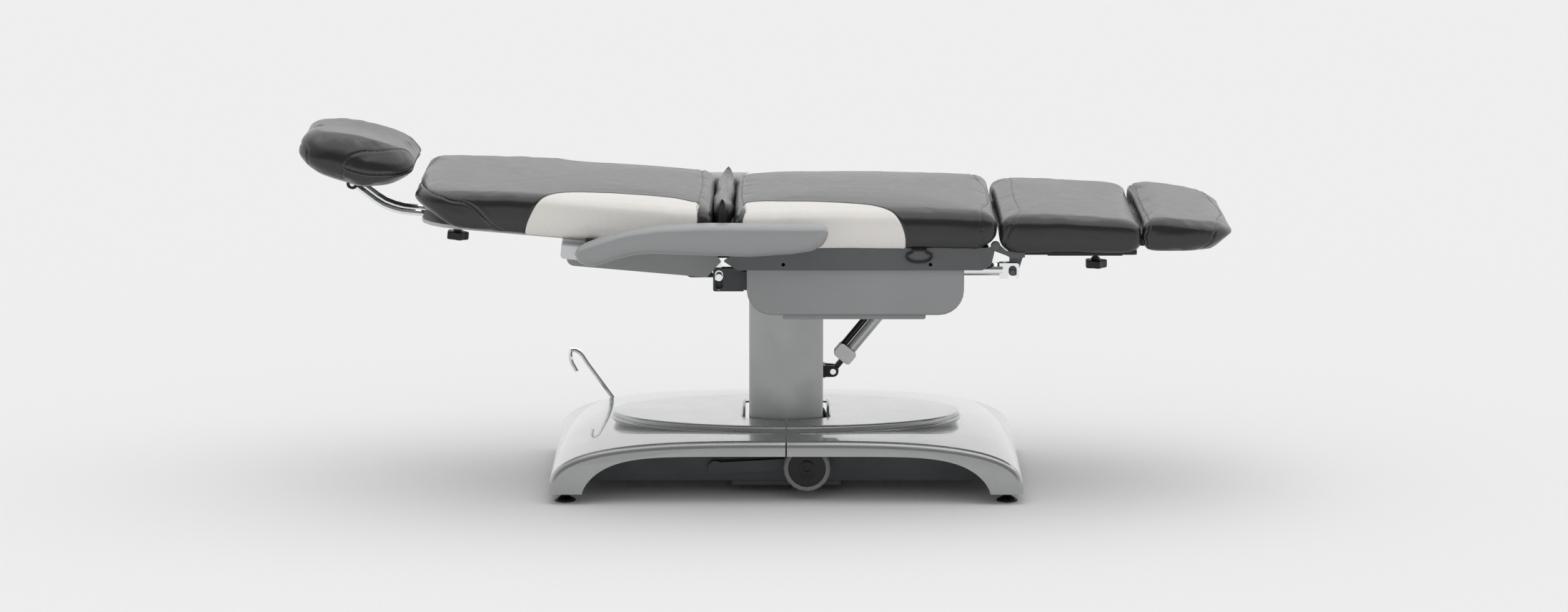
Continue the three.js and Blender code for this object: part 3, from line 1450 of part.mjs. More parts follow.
// Head section: sleeve under the back board, bent double bar, headrest on its hinge
const rodW = -headRodDrop;
const sleeveBore = (y) => rodX(
  headRodRadius + slideGap, y, rodW, sleeveHead - overrun, sleeveFoot + overrun, 20,
);
place("head_sleeve", cut(
  block(sleeveHead, sleeveFoot, -sleeveHalf, sleeveHalf, -sleeveLow, underBoard),
  sleeveBore(-headRodY),
  sleeveBore(headRodY),
  rodZ(headKnobStem + gap, headKnobX, 0, -sleeveLow - overrun, rodW, 12),
), blackPlastic, back);
const starKnob = (radius, high, stemRadius, stemTop) => {
  const points = [];
  const steps = 20;
  for (let i = 0; i < steps; i += 1) {
    const angle = (2 * Math.PI * i) / steps;
    const r = radius * (0.88 + 0.12 * Math.cos(5 * angle));
    points.push(new THREE.Vector2(r * Math.cos(angle), r * Math.sin(angle)));
  }
  const options = { depth: high - knobNeckHigh / 2, bevelEnabled: true, bevelSegments: 1 };
  const edge = knobNeckHigh / 4;
  Object.assign(options, { bevelThickness: edge, bevelSize: edge, bevelOffset: -edge });
  return join(
    new THREE.ExtrudeGeometry(new THREE.Shape(points), options).translate(0, 0, knobNeckHigh / 4),
    rodZ(knobNeck, 0, 0, high - knobNeckHigh / 2, high + knobNeckHigh, 16),
    rodZ(stemRadius, 0, 0, high / 2, stemTop, 12),
  );
};
const headKnob = place("head_knob", starKnob(
  headKnobRadius, headKnobHigh, headKnobStem,
  headKnobTop + headKnobHigh - gap - headRodDrop - 2 * headRodRadius / 2,
), blackPlastic, back);
headKnob.position.set(headKnobX, 0, -headKnobTop - headKnobHigh);
const [blockU, blockW] = toBack(headBlockX, headBlockZ);
const bend = (y) => {
  const start = headRodBend;
  return tube(headRun.map((run, i) => {
    const share = i / (headRun.length - 1);
    const end = i === headRun.length - 1;
    return new THREE.Vector3(
      end ? blockU : start - run, y, end ? blockW : rodW + headRise[i] * (share > 0 ? 1 : 0),
    );
  }), headRodRadius, 8, 7);
};
place("head_bar", join(
  ...[-headRodY, headRodY].flatMap((y) => [
    rodX(headRodRadius, y, rodW, headRodBend - overrun, headRodStart, 8),
    bend(y),
  ]),
  rodY(headBlockRadius, blockU, blockW, -headBlockHalf, headBlockHalf, 16),
  rodY(hingePin, blockU, blockW, -headBlockHalf - headLug - 2 * gap, headBlockHalf + headLug + 2 * gap, 16),
  block(
    headRodStart - headEndBar, headRodStart, -headEndHalf, headEndHalf, rodW - headRodRadius - gap,
    rodW + headRodRadius,
  ),
), chrome, back);
const head = new THREE.Group();
head.position.set(headBlockX, 0, headBlockZ);
head.rotation.y = THREE.MathUtils.degToRad(headTilt);
couch.add(head);
const lug = (sign) => {
  const [y0, y1] = [headBlockHalf + gap, headBlockHalf + gap + headLug];
  return cut(
    slabXZ(outline([
      [-headBlockRadius, -headBlockRadius, headBlockRadius],
      [headBlockRadius, -headBlockRadius, headBlockRadius],
      [headLugHalf, headBoardUp + headBoardThick / 2], [-headLugHalf, headBoardUp + headBoardThick / 2],
    ], 6), ...sided(sign, y0, y1)),
    rodY(hingePin + gap, 0, 0, -y1 - overrun, y1 + overrun, 16),
  );
};
place("headrest_board", join(
  slabXY(
    rectangle(headBoardHead, headBoardFoot, headBoardHalf, 2 * boardRound), headBoardUp,
    headBoardUp + headBoardThick,
  ),
  lug(-1),
  lug(1),
), boardBlack, head);
place("headrest_cushion", cushion(headPad, (p, z, t) => {
  const across = p.y / headPad.half;
  return z - headDish * (1 - across ** 2) ** 2 * Math.max(p.z - 0.5, 0) * 2 * Math.sin(Math.PI * t);
}), upholstery, head);

// Leg section
place("leg_board", join(
  slabXY(rectangle(legBoardHead, legBoardFoot, legBoardHalf, boardRound), legBoardLow, legBoardTop),
  cut(
    block(
      legSleeveHead, legSleeveFoot, -legSleeveHalf, legSleeveHalf, legSleeveLow,
      legBoardLow + legBoardThick / 2,
    ),
    block(
      legSleeveHead - overrun, legSleeveFoot + overrun, -footRailHalf - slideGap, footRailHalf + slideGap,
      legBoardLow - legSleeveWall - footRailHigh - slideGap, legBoardLow - legSleeveWall + slideGap,
    ),
    rodZ(
      headKnobStem + gap, legKnobX, 0, legSleeveLow - overrun,
      legBoardLow - legSleeveWall - footRailHigh / 2, 12,
    ),
  ),
), boardBlack);
const legKnob = place("leg_knob", starKnob(
  headKnobRadius, headKnobHigh, headKnobStem,
  headKnobHigh + legBoardLow - legSleeveWall - footRailHigh - slideGap - gap - legKnobTop,
), blackPlastic);
legKnob.position.set(legKnobX, 0, legKnobTop - headKnobHigh);
[["near", -1], ["far", 1]].forEach(([side, sign]) => {
  const inner = seatPlateY - legPlateGap - legPlateThick;
  const outer = seatPlateY - legPlateGap;
  const span = (inner, outer) => sided(sign, inner, outer);
  const shapes = [
    slabXZ(outline([
      [legX - legBoss / 2, legZ - legBoss], [legPlateStart, legPlateLow + legBoss / 2, boardRound],
      [legPlateStart + boardRound, legPlateLow, boardRound], [legPlateFoot, legPlateLow, boardRound],
      [legPlateFoot, legBoardTop], [legPlateStart, legBoardTop, boardRound],
      [legX + legBoss / 2, legZ + legBoss / 2],
    ]), ...span(inner, outer)),
    rodY(legBoss, legX, legZ, ...span(inner, outer), 16),
    rodY(hingePin, legX, legZ, ...span(outer - gap, backPinReach + pinHeadThick), 12),
    rodY(pinHead, legX, legZ, ...span(backPinReach, backPinReach + pinHeadThick), 16),
  ];
  if (sign < 0) {
    const low = legBoardLow - gap;
    shapes.push(
      block(
        legBoardHead + gap, legPlateFoot, -inner - gap, -legDriveY + 2 * legArmHalf,
        low - legPlateThick, low,
      ),
      slabXZ(outline([
        [legPinX - legArmEye, legPinZ - legArmEye, legArmEye],
        [legPinX + legArmEye, legPinZ - legArmEye, legArmEye],
        [legPlateFoot, low - legPlateThick / 2], [legBoardHead + gap, low - legPlateThick / 2],
      ], 6), -legDriveY - legArmHalf, -legDriveY + legArmHalf),
      rodY(legPin, legPinX, legPinZ, -legDriveY - legForkOuter, -legDriveY + legForkOuter, 12),
    );
  }
  place(`leg_bracket_${side}`, join(...shapes), plateGrey);
});
place("leg_cushion", cushion(legPad), upholstery);

// Foot section: rail in the sleeve, board and cushion
const railTop = legBoardLow - legSleeveWall;
place("foot_board", join(
  block(
    footRailHead, footBoardHead + hangerHalf, -footRailHalf, footRailHalf, railTop - footRailHigh,
    railTop,
  ),
  slabXZ(outline([
    [footBoardHead, railTop - footRailHigh], [footBoardHead + footRailHigh, railTop - footRailHigh],
    [footBoardHead + 2 * footRailHigh, footPad.low - gap], [footBoardHead, footPad.low - gap],
  ]), -footRailHalf, footRailHalf),
  slabXY(
    rectangle(footBoardHead, footBoardFoot, footBoardHalf, 2 * boardRound),
    footPad.low - gap - footPlateThick, footPad.low - gap,
  ),
), boardBlack);
place("foot_cushion", cushion(footPad), upholstery);

// A slab across Y whose outline draws in along both faces, for moulded shapes that curve both ways
const softSlab = (shape, y0, y1, radius, count = 32) => {
  const points = shape.getSpacedPoints(count).slice(0, count);
  const turns = THREE.ShapeUtils.isClockWise(points) ? -1 : 1;
  const normals = points.map((p, i) => {
    const last = points[(i + count - 1) % count];
    const next = points[(i + 1) % count];
    return new THREE.Vector2(last.y - next.y, next.x - last.x).normalize().multiplyScalar(turns);
  });
  const steps = 2;
  const levels = [];
  for (let k = 0; k <= steps; k += 1) {
    const angle = (Math.PI / 2) * (k / steps);
    levels.push([y0 + radius * (1 - Math.sin(angle)), radius * (1 - Math.cos(angle))]);
  }
  const rings = [...levels.slice().reverse(), ...levels.map(([y, inset]) => [y0 + y1 - y, inset])];
  const positions = [];
  rings.forEach(([y, inset]) => points.forEach((p, i) => {
    positions.push(p.x + normals[i].x * inset, y, p.y + normals[i].y * inset);
  }));
  const index = [];
  for (let i = 0; i < count; i += 1) {
    const j = (i + 1) % count;
    for (let k = 0; k < rings.length - 1; k += 1) {
      const [a, b] = [k * count + i, k * count + j];
      const [c, d] = [a + count, b + count];
      index.push(...(turns > 0 ? [a, d, b, a, c, d] : [a, b, d, a, d, c]));
    }
  }
  const top = (rings.length - 1) * count;
  THREE.ShapeUtils.triangulateShape(points, []).forEach(([a, b, c]) => {
    index.push(...(turns > 0 ? [a, b, c, top + c, top + b, top + a] : [c, b, a, top + a, top + b, top + c]));
  });
  const geometry = new THREE.BufferGeometry();
  geometry.setAttribute("position", new THREE.BufferAttribute(new Float32Array(positions), 3));
  geometry.setIndex(index);
  return geometry;
};

// Armrests: a moulded pad with a slim head end, a waist and a square foot end
const armOutlineShares = [
  [0, 0.3, 0.12], [0.03, 0.02, 0.1], [0.075, 0, 0.3], [0.16, 0.18, 1], [0.235, 0.29, 1],
  [0.3, 0.325, 1], [0.49, 0.27, 1],
  [0.69, 0.22, 1], [0.86, 0.3, 1], [0.945, 0.38, 0.3], [0.985, 0.53, 0.3], [1, 0.79, 0.2], [1, 0.97, 0.12],
  [0.97, 0.975, 0.3], [0.52, 1, 1], [0.33, 0.965, 1], [0.2, 0.84, 1], [0.1, 0.66, 1], [0.035, 0.5, 0.3],
];
[["near", -1], ["far", 1]].forEach(([side, sign]) => {
  const shape = outline(
    armOutlineShares.map(([x, z, r]) => [armHead + x * armLength, armLow + z * armHeight, r * armHeight]),
    3,
  );
  const [y0, y1] = sided(sign, armInner, armInner + armWidth);
  const pivotX = backX + armPivot * Math.cos(THREE.MathUtils.degToRad(backRest));
  const pivotZ = backZ - armPivot * Math.sin(THREE.MathUtils.degToRad(backRest));
  const reach = carrierHalf + armPivotReach + gap;
  place(`armrest_${side}`, cut(
    softSlab(shape, y0, y1, armRound),
    rodY(
      armPivotRadius + gap, pivotX, pivotZ,
      ...sided(sign, armInner - overrun, reach), 20,
    ),
  ), armGrey);
});

// Centre the couch over the origin, standing on the floor
couch.updateMatrixWorld(true);
const bounds = new THREE.Box3().setFromObject(couch);
const centre = bounds.getCenter(new THREE.Vector3());
couch.position.set(-centre.x, -centre.y, -bounds.min.z);

export default couch;
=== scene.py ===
"""Treatment couch: the looks of its pieces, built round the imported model.

Lengths in the tables at the top are in millimetres, unless a comment says metres.
"""
import json
import math

import bmesh
import bpy
import numpy as np
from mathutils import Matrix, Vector
from mathutils.bvhtree import BVHTree
from mathutils.kdtree import KDTree


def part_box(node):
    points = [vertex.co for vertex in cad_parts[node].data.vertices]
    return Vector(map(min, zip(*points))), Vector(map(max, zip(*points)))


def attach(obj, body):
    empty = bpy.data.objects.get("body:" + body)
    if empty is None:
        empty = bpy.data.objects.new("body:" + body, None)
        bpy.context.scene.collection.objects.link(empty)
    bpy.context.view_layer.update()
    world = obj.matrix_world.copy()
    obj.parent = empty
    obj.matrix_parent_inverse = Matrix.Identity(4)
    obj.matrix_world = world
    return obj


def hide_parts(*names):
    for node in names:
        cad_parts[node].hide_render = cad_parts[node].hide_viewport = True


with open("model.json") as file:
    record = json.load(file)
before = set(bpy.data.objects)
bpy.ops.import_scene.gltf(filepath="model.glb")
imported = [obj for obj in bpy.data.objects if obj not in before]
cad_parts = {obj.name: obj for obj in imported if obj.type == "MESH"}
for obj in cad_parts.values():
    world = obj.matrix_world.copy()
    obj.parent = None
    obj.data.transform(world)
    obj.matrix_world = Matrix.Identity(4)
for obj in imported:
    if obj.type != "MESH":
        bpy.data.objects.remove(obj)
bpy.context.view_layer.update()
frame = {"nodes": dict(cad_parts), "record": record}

bl_info = {
    "name": "Treatment couch",
    "version": (1, 0, 0),
    "blender": (4, 5, 0),
    "location": "3D View > Sidebar > Couch",
    "description": "Builds the pieces and finishes of a treatment couch",
    "category": "Add Mesh",
}

MM = 0.001
NODE_BODY = {
    node: body
    for body, members in frame["record"]["behaviour"]["bodies"].items()
    for node in members
}
NODE_SLOT = {row["node"]: row["material_slot"] for row in frame["record"]["subparts"]}
plate_low, plate_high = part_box("base_plate")
BASE_X = (plate_low.x + plate_high.x) / 2 / MM
FINISHES = {}


# Places: millimetres from the middle of the base, and the tilted back and head frames

def level_place(points):
    """Millimetres from the middle of the base to metres in the row frame."""
    return (np.asarray(points, float) + [BASE_X, 0, 0]) * MM


def tilted_place(pivot, degrees):
    """A place function for a section that is turned about a pivot (x, z)."""
    turn = math.radians(degrees)
    cosine, sine = math.cos(turn), math.sin(turn)

    def place(points):
        p = np.asarray(points, float)
        x = pivot[0] + p[..., 0] * cosine + p[..., 2] * sine
        z = pivot[1] - p[..., 0] * sine + p[..., 2] * cosine
        return level_place(np.stack([x, p[..., 1], z], axis=-1))

    return place


BACK_PIVOT = (-203, 533)
BACK_ANGLE = 5
HEAD_PIVOT = (-925, 645)
HEAD_ANGLE = 17
back_place = tilted_place(BACK_PIVOT, BACK_ANGLE)
head_place = tilted_place(HEAD_PIVOT, HEAD_ANGLE)

# Pads: outline, thickness, rounded edges, drawn-in ends and sides, and shares of the thickness at which
# the top and bottom lines lie from head to foot. The rise lifts the middle of the top above its sides.
SEAT_PAD = dict(
    head=-113, foot=443.2, half=303, low=544.9, thick=77.6, edge=24, crown=4, corners=(16, 16),
    tuck_head=(21, 52, 1.3), tuck_foot=(30, 40, 2.3), tuck_side=(10, 30, 2),
    top=(0.935, 0.985, 1, 0.99, 0.935), bottom=(0, 0, 0), rise=(13, 13, 11, 8, 4, 1),
)
BACK_PAD = dict(
    head=-586, foot=46, half=303, low=14.2, thick=81, edge=22, crown=4, corners=(68, 18),
    tuck_head=(30, 40, 2), tuck_foot=(6, 30, 2), tuck_side=(9, 30, 2),
    top=(0.83, 0.86, 0.93, 0.98, 1, 1, 1, 1, 0.99, 0.97), bottom=(0.42, 0.02, 0, 0, 0, 0, 0, 0),
    rise=(3, 1, -2, -2, -1, 3, 7, 9, 10, 10),
)
LEG_PAD = dict(
    head=444.2, foot=744.6, half=300, low=536.5, thick=75, edge=20, crown=3, corners=(18, 18),
    tuck_head=(20, 40, 3.2), tuck_foot=(12, 24, 2), tuck_side=(10, 26, 2),
    top=(0.96, 1, 0.99, 0.95, 0.9, 0.83), bottom=(0, 0, 0), rise=(1, 0, -2, -2),
)
FOOT_PAD = dict(
    head=747.4, foot=942.4, half=290, low=540, thick=66, edge=18, crown=2, corners=(16, 105),
    tuck_head=(9, 22, 2), tuck_foot=(20, 20, 2), tuck_side=(12, 24, 2),
    top=(0.96, 0.99, 0.93, 0.86, 0.78, 0.62), bottom=(0, 0, 0, 0.02, 0.3), rise=(-2, -2),
)
HEAD_PAD = dict(
    head=-128, foot=117.5, half=172, low=19.6, thick=96, edge=24, side_edge=60, crown=2,
    corners=(66, 58), tuck_head=(22, 30, 2), tuck_foot=(26, 40, 2), tuck_side=(20, 34, 2),
    top=(0.74, 0.82, 0.92, 0.98, 1, 1, 0.97, 0.9), bottom=(0.08, 0, 0, 0, 0.16, 0.42), rise=(0, 0),
)
HEAD_DISH = 7
# The pads start larger than their tables, and their tops lower by what the filling lifts them
PAD_INSET = -2
FILL_RISE = 5.5
# Cloth filled by pressure
FILLING = dict(frames=20, quality=4, mass=0.3, stretch=12, shear=6, bend=1.5, pressure=4)
# In metres: what a sewn seam and a panel's edge press in, the swelling beside them, and the reach
# within which the mesh is made finer
SEAM = dict(press=0.0019, width=0.0021, swell=0.0005, swell_at=0.0075, swell_width=0.004)
PANEL_EDGE = dict(press=0.0014, width=0.0019, swell=0.0005, swell_at=0.006, swell_width=0.003)
FINER_REACH = 0.006
# How the pull of a seam varies along it
PUCKER = dict(mean=0.75, swing=0.25, quick=0.7, slow=0.23, start=1.3)
# A stitch in metres: its pitch, length and radius, and the row's place beside the seam and above the pad
STITCH = dict(pitch=0.0052, length=0.0034, radius=0.0005, beside=0.0045, above=0.0002)

# Seams: points on a pad's near side, mirrored to the far side; the last number is the stitch rows
BACK_SEAMS = {
    "head": ([
        (-584, 0, 68), (-583, -45, 68), (-559, -250, 79.6), (-513.5, -297.5, 72.5),
        (-477, -298.6, 67.5), (-455.5, -299.6, 59.7), (-428, -298.6, 36), (-412.5, -295, 23.5),
        (-396, -293, 15),
    ], 2),
    "foot": ([
        (16, 0, 107.5), (15.4, -60, 107.5), (13.6, -126, 107.6), (10.8, -224, 105),
        (8.3, -276.5, 100.3), (12, -298.6, 67), (12, -296, 14),
    ], 0),
}
SEAT_SEAMS = {
    "head": ([
        (-98.4, 0, 629), (-96.5, -110, 629), (-91, -205, 628.6), (-86.7, -275, 625.5),
        (-91.8, -298, 597.3), (-90, -298, 575), (-84, -292, 546),
    ], 0),
    "foot": ([
        (432, 0, 611), (430, -103, 612), (416, -200, 620), (408.4, -262.4, 623.6),
        (407.3, -295, 610.3), (408, -300, 590), (410, -300, 565), (408, -294, 546),
    ], 0),
}
LEG_SEAMS = {
    "head": ([
        (486, 0, 617.3), (486, -61.6, 617.3), (490, -195.6, 618), (487, -265, 616.4),
        (471.5, -296, 592.5), (462, -297, 570), (457, -290.6, 553.8), (453, -284, 537),
    ], 0),
}
FOOT_SEAMS = {
    "head": ([
        (756, 0, 596), (756.3, -89, 596), (757.4, -149, 597.3), (757, -278.7, 596.7),
        (757.5, -284.6, 580.7), (753.3, -282.8, 570.7), (755.8, -280.7, 553), (757, -276, 541),
    ], 2),
    "tip": ([
        (930, 0, 581), (929, -46, 581), (909, -194.7, 594), (901.7, -255.6, 586),
        (896.4, -268.7, 568.5), (886.7, -270.7, 551.6), (877, -268, 545),
    ], 0),
}
HEAD_SEAMS = {
    "end": ([
        (-121, 0, 57), (-120.8, -28, 57), (-118, -87, 59), (-109, -142, 62.5), (-102.5, -154.8, 44),
        (-97.4, -143.6, 30.3),
    ], 0),
    "lobe": ([
        (-19.7, -154.6, 24.4), (-21.8, -169, 39.4), (-21, -172.6, 53.5), (-18, -171.6, 72),
        (-9, -168.8, 85.7), (10.6, -160.7, 98.3), (30.4, -153, 105.4), (50, -146.4, 112),
        (70, -125, 112.4), (90, -90, 104), (104, -85, 94), (111.5, -85, 86),
    ], 0),
    "double": ([
        (-23, -171.5, 48.3), (0.6, -172.6, 46.7), (26.4, -172.4, 49), (47, -171, 53.5),
        (67, -169.7, 60), (86.3, -159.8, 66.5), (104.6, -142.4, 75), (114, -125, 82), (117, -60, 84),
        (117.5, 0, 84),
    ], 2),
}
# Pale side panels: outlines in (along, up the side and over the top)
BACK_PANEL = [
    (-350, -30), (-345.6, 12), (-337, 42), (-322, 77), (-307, 105), (-281.5, 140), (-243.5, 162),
    (-188, 170), (-132.6, 173), (-45, 171), (0, 152), (11, 147), (11, 78), (12, 57), (12, -30),
]
SEAT_PANEL = [
    (-84, -30), (-92, 57), (-87, 108), (-89, 168), (-59, 181), (0, 172), (65.4, 169), (127.4, 156),
    (179.6, 138.5), (216, 103), (236, 66), (248, 33), (250, 10), (252, -30),
]

# Gap bolster: its place and size, its thinning ends, its ears, its ridge and the seams at its ends. Its
# mesh's voxel and the most that its filling moves a point are in metres.
BOLSTER = dict(
    x=-133.75, thick=44, low=560, high=85, half=282, lean=9, lean_power=1.5, sway=3, sway_turn=7,
    end_power=3.4, end_width=0.3, peak=0.84, ear=0.13, ear_power=4, far_drop=0.05,
    ridge_power=6, ridge_round=0.7, ridge_width=0.03, foot_width=0.72, foot_growth=2.2,
    voxel=0.004, swell=0.002, fill=0.35, seam_reach=18, seam_ease=10, seam_press=3.5, seam_width=3.2,
)

# Armrests: the lower and upper edges of the side profile are shares of the length and the height
ARM = dict(
    inner=330, width=80, head=-438.5, length=526, low=520, height=85, waist=0.74, crown=3,
    square_top=5, round_under=2.3, square_ends=22, end_width=0.25,
)
ARM_LOWER = [
    (0, 0.3), (0.012, 0.12), (0.04, 0.02), (0.075, 0), (0.11, 0.05), (0.16, 0.17), (0.235, 0.28),
    (0.3, 0.315), (0.49, 0.27), (0.69, 0.225), (0.86, 0.3), (0.935, 0.37), (0.975, 0.5), (0.993, 0.66),
    (1, 0.8),
]
ARM_UPPER = [
    (0, 0.3), (0.012, 0.42), (0.04, 0.51), (0.1, 0.65), (0.2, 0.83), (0.33, 0.955), (0.52, 1),
    (0.75, 0.992), (0.955, 0.975), (0.985, 0.96), (0.996, 0.9), (1, 0.8),
]

# Base covers, as the solids have them
COVER = dict(
    half=500, foot=23, rise=113, depth=310, wall=4, ridge=14, split=3, powers=(3.2, 3.1),
    cut_low=-60, cut_high=200,
)
ARCH = dict(half=430, rise=81, powers=(7, 1.45), below=40)
PLINTH = dict(
    top=147, foot_x=378, foot_y=212, waist=120,
    tiers=[
        (36, 18, 96), (26, 13, 108), (12, 6.5, 120), (3.5, 2, 129), (0.8, 0.6, 132.5), (0, 0, 134.5),
        (0.5, 1.2, 136), (1.6, 3.6, 137.2), (3, 7.5, 137.9), (4, 10.5, 138), (4.6, 12.2, 137.2),
        (4.9, 12.8, 137.6), (5, 13.2, 139.5), (5.1, 13.8, 142), (5.6, 15.6, 144.6), (6.3, 19, 146.2),
        (7, 24, 146.9), (8, 30, 147),
    ],
)
COLUMN = dict(half_x=79, corner=92, bulge=118, hole_low=80)
LIP = dict(height=22, half=90, thick=6, slope=4, gap=8)
# How far a cutting tool passes what it cuts
PAST = 5
# In metres: how close two points are to be merged, the rounding at the covers' split, and how close a
# point is to lie on it
MERGE = 0.00002
SPLIT_ROUND = 0.0016
AT_SPLIT = 0.00005
# In degrees: faces that turn less are one face, edges that turn more are rounded, or shaded sharp
FLAT = 0.6
ROUNDED_FROM = 32
SHARP_FROM = 40
COVER_SHARP_FROM = 28


# Mesh helpers

def linked(name, data):
    """A new object in the scene for a mesh, lamp or camera."""
    obj = bpy.data.objects.new(name, data)
    bpy.context.scene.collection.objects.link(obj)
    return obj


def mesh_object(name, points, faces, finish=None):
    """A mesh object at the origin, from points in metres."""
    mesh = bpy.data.meshes.new(name)
    mesh.from_pydata([tuple(p) for p in points], [], [tuple(f) for f in faces])
    mesh.update()
    if finish:
        mesh.materials.append(FINISHES[finish])
    return linked(name, mesh)


def loft_faces(rings, count, closed_ends=True):
    """Faces over rings of equal counts, low to high, with a middle point at each end."""
    faces = []
    for k in range(rings - 1):
        for i in range(count):
            j = (i + 1) % count
            faces.append((k * count + i, k * count + j, (k + 1) * count + j, (k + 1) * count + i))
    if closed_ends:
        low, high = rings * count, rings * count + 1
        for i in range(count):
            j = (i + 1) % count
            faces.append((low, j, i))
            faces.append((high, (rings - 1) * count + i, (rings - 1) * count + j))
    return faces


def loft_object(name, rings, finish=None):
    """A closed skin over rings of points in metres."""
    rings = [np.asarray(r, float) for r in rings]
    points = np.concatenate([*rings, [rings[0].mean(0)], [rings[-1].mean(0)]])
    return mesh_object(name, points, loft_faces(len(rings), len(rings[0])), finish)


def baked(obj, name=None):
    """Applies the modifiers of an object into a fresh mesh."""
    graph = bpy.context.evaluated_depsgraph_get()
    mesh = bpy.data.meshes.new_from_object(
        obj.evaluated_get(graph), preserve_all_data_layers=True, depsgraph=graph)
    old = obj.data
    obj.modifiers.clear()
    obj.data = mesh
    if old.users == 0:
        bpy.data.meshes.remove(old)
    if name:
        obj.name = name
        mesh.name = name
    return obj


def edit(obj, work):
    """Runs work(bmesh) on an object's mesh."""
    bm = bmesh.new()
    bm.from_mesh(obj.data)
    work(bm)
    bm.to_mesh(obj.data)
    bm.free()
    obj.data.update()
    return obj


def face_outward(obj):
    """Turns the faces of a closed mesh outwards."""
    return edit(obj, lambda bm: bmesh.ops.recalc_face_normals(bm, faces=bm.faces))


def coat(obj, finish):
    """Gives an object one finish all over."""
    obj.data.materials.clear()
    obj.data.materials.append(FINISHES[finish])


def shade_smooth(obj):
    """Smooth shading all over."""
    obj.data.polygons.foreach_set("use_smooth", [True] * len(obj.data.polygons))


def remeshed(obj, voxel):
    """Gives a closed mesh even faces of one size."""
    modifier = obj.modifiers.new("even", "REMESH")
    modifier.mode = "VOXEL"
    modifier.voxel_size = voxel
    return baked(obj)


def settle(obj, turns, factor=0.5):
    """Adds a smoothing of the points."""
    modifier = obj.modifiers.new("settle", "SMOOTH")
    modifier.iterations = turns
    modifier.factor = factor


def subdivided(obj, name):
    """One subdivision, applied with any modifiers before it."""
    modifier = obj.modifiers.new("refine", "SUBSURF")
    modifier.levels = modifier.render_levels = 1
    return baked(obj, name)


def places_of(mesh):
    """The points of a mesh as rows of numbers."""
    co = np.empty(len(mesh.vertices) * 3)
    mesh.vertices.foreach_get("co", co)
    return co.reshape(-1, 3)


def write_layers(mesh, **layers):
    """Writes named values for a mesh's points."""
    for name, values in layers.items():
        layer = mesh.attributes.new(name, "FLOAT", "POINT")
        layer.data.foreach_set("value", values.astype(np.float32))
    mesh.update()


def smooth_by_angle(obj, degrees):
    """Smooth shading, with the edges that turn more than this kept sharp."""
    limit = math.radians(degrees)

    def work(bm):
        for face in bm.faces:
            face.smooth = True
        for edge in bm.edges:
            edge.smooth = len(edge.link_faces) == 2 and edge.calc_face_angle(0) < limit

    return edit(obj, work)


def boolean(target, tool, operation):
    """Joins, cuts or crosses two closed meshes, and removes the tool."""
    modifier = target.modifiers.new("shape", "BOOLEAN")
    modifier.object = tool
    modifier.operation = operation
    modifier.solver = "MANIFOLD"
    bpy.context.view_layer.update()
    baked(target)
    bpy.data.objects.remove(tool)
    return target


def dress(obj, body, *nodes, slot=None):
    """Puts a finished piece on its body, in place of its CAD nodes."""
    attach(obj, body)
    if nodes:
        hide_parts(*nodes)
        slot or NODE_SLOT[nodes[0]]
    return obj


def spread(points, step):
    """A smooth line through points, sampled at a step in the same unit."""
    p = np.asarray(points, float)
    p = np.concatenate([[2 * p[0] - p[1]], p, [2 * p[-1] - p[-2]]])
    out = []
    for i in range(1, len(p) - 2):
        a, b, c, d = p[i - 1], p[i], p[i + 1], p[i + 2]
        count = max(2, int(np.linalg.norm(c - b) / step))
        for k in range(count):
            t = k / count
            out.append(0.5 * (2 * b + (c - a) * t + (2 * a - 5 * b + 4 * c - d) * t * t
                              + (3 * b - a - 3 * c + d) * t ** 3))
    out.append(p[-2])
    return np.array(out)


# Finishes

def spanned_node(tree, value, span, onto, kind="LINEAR"):
    """A value brought from one span onto another, in any node tree."""
    node = tree.nodes.new("ShaderNodeMapRange")
    node.interpolation_type = kind
    for index, number in enumerate((*span, *onto), start=1):
        node.inputs[index].default_value = number
    tree.links.new(value, node.inputs["Value"])
    return node.outputs["Result"]


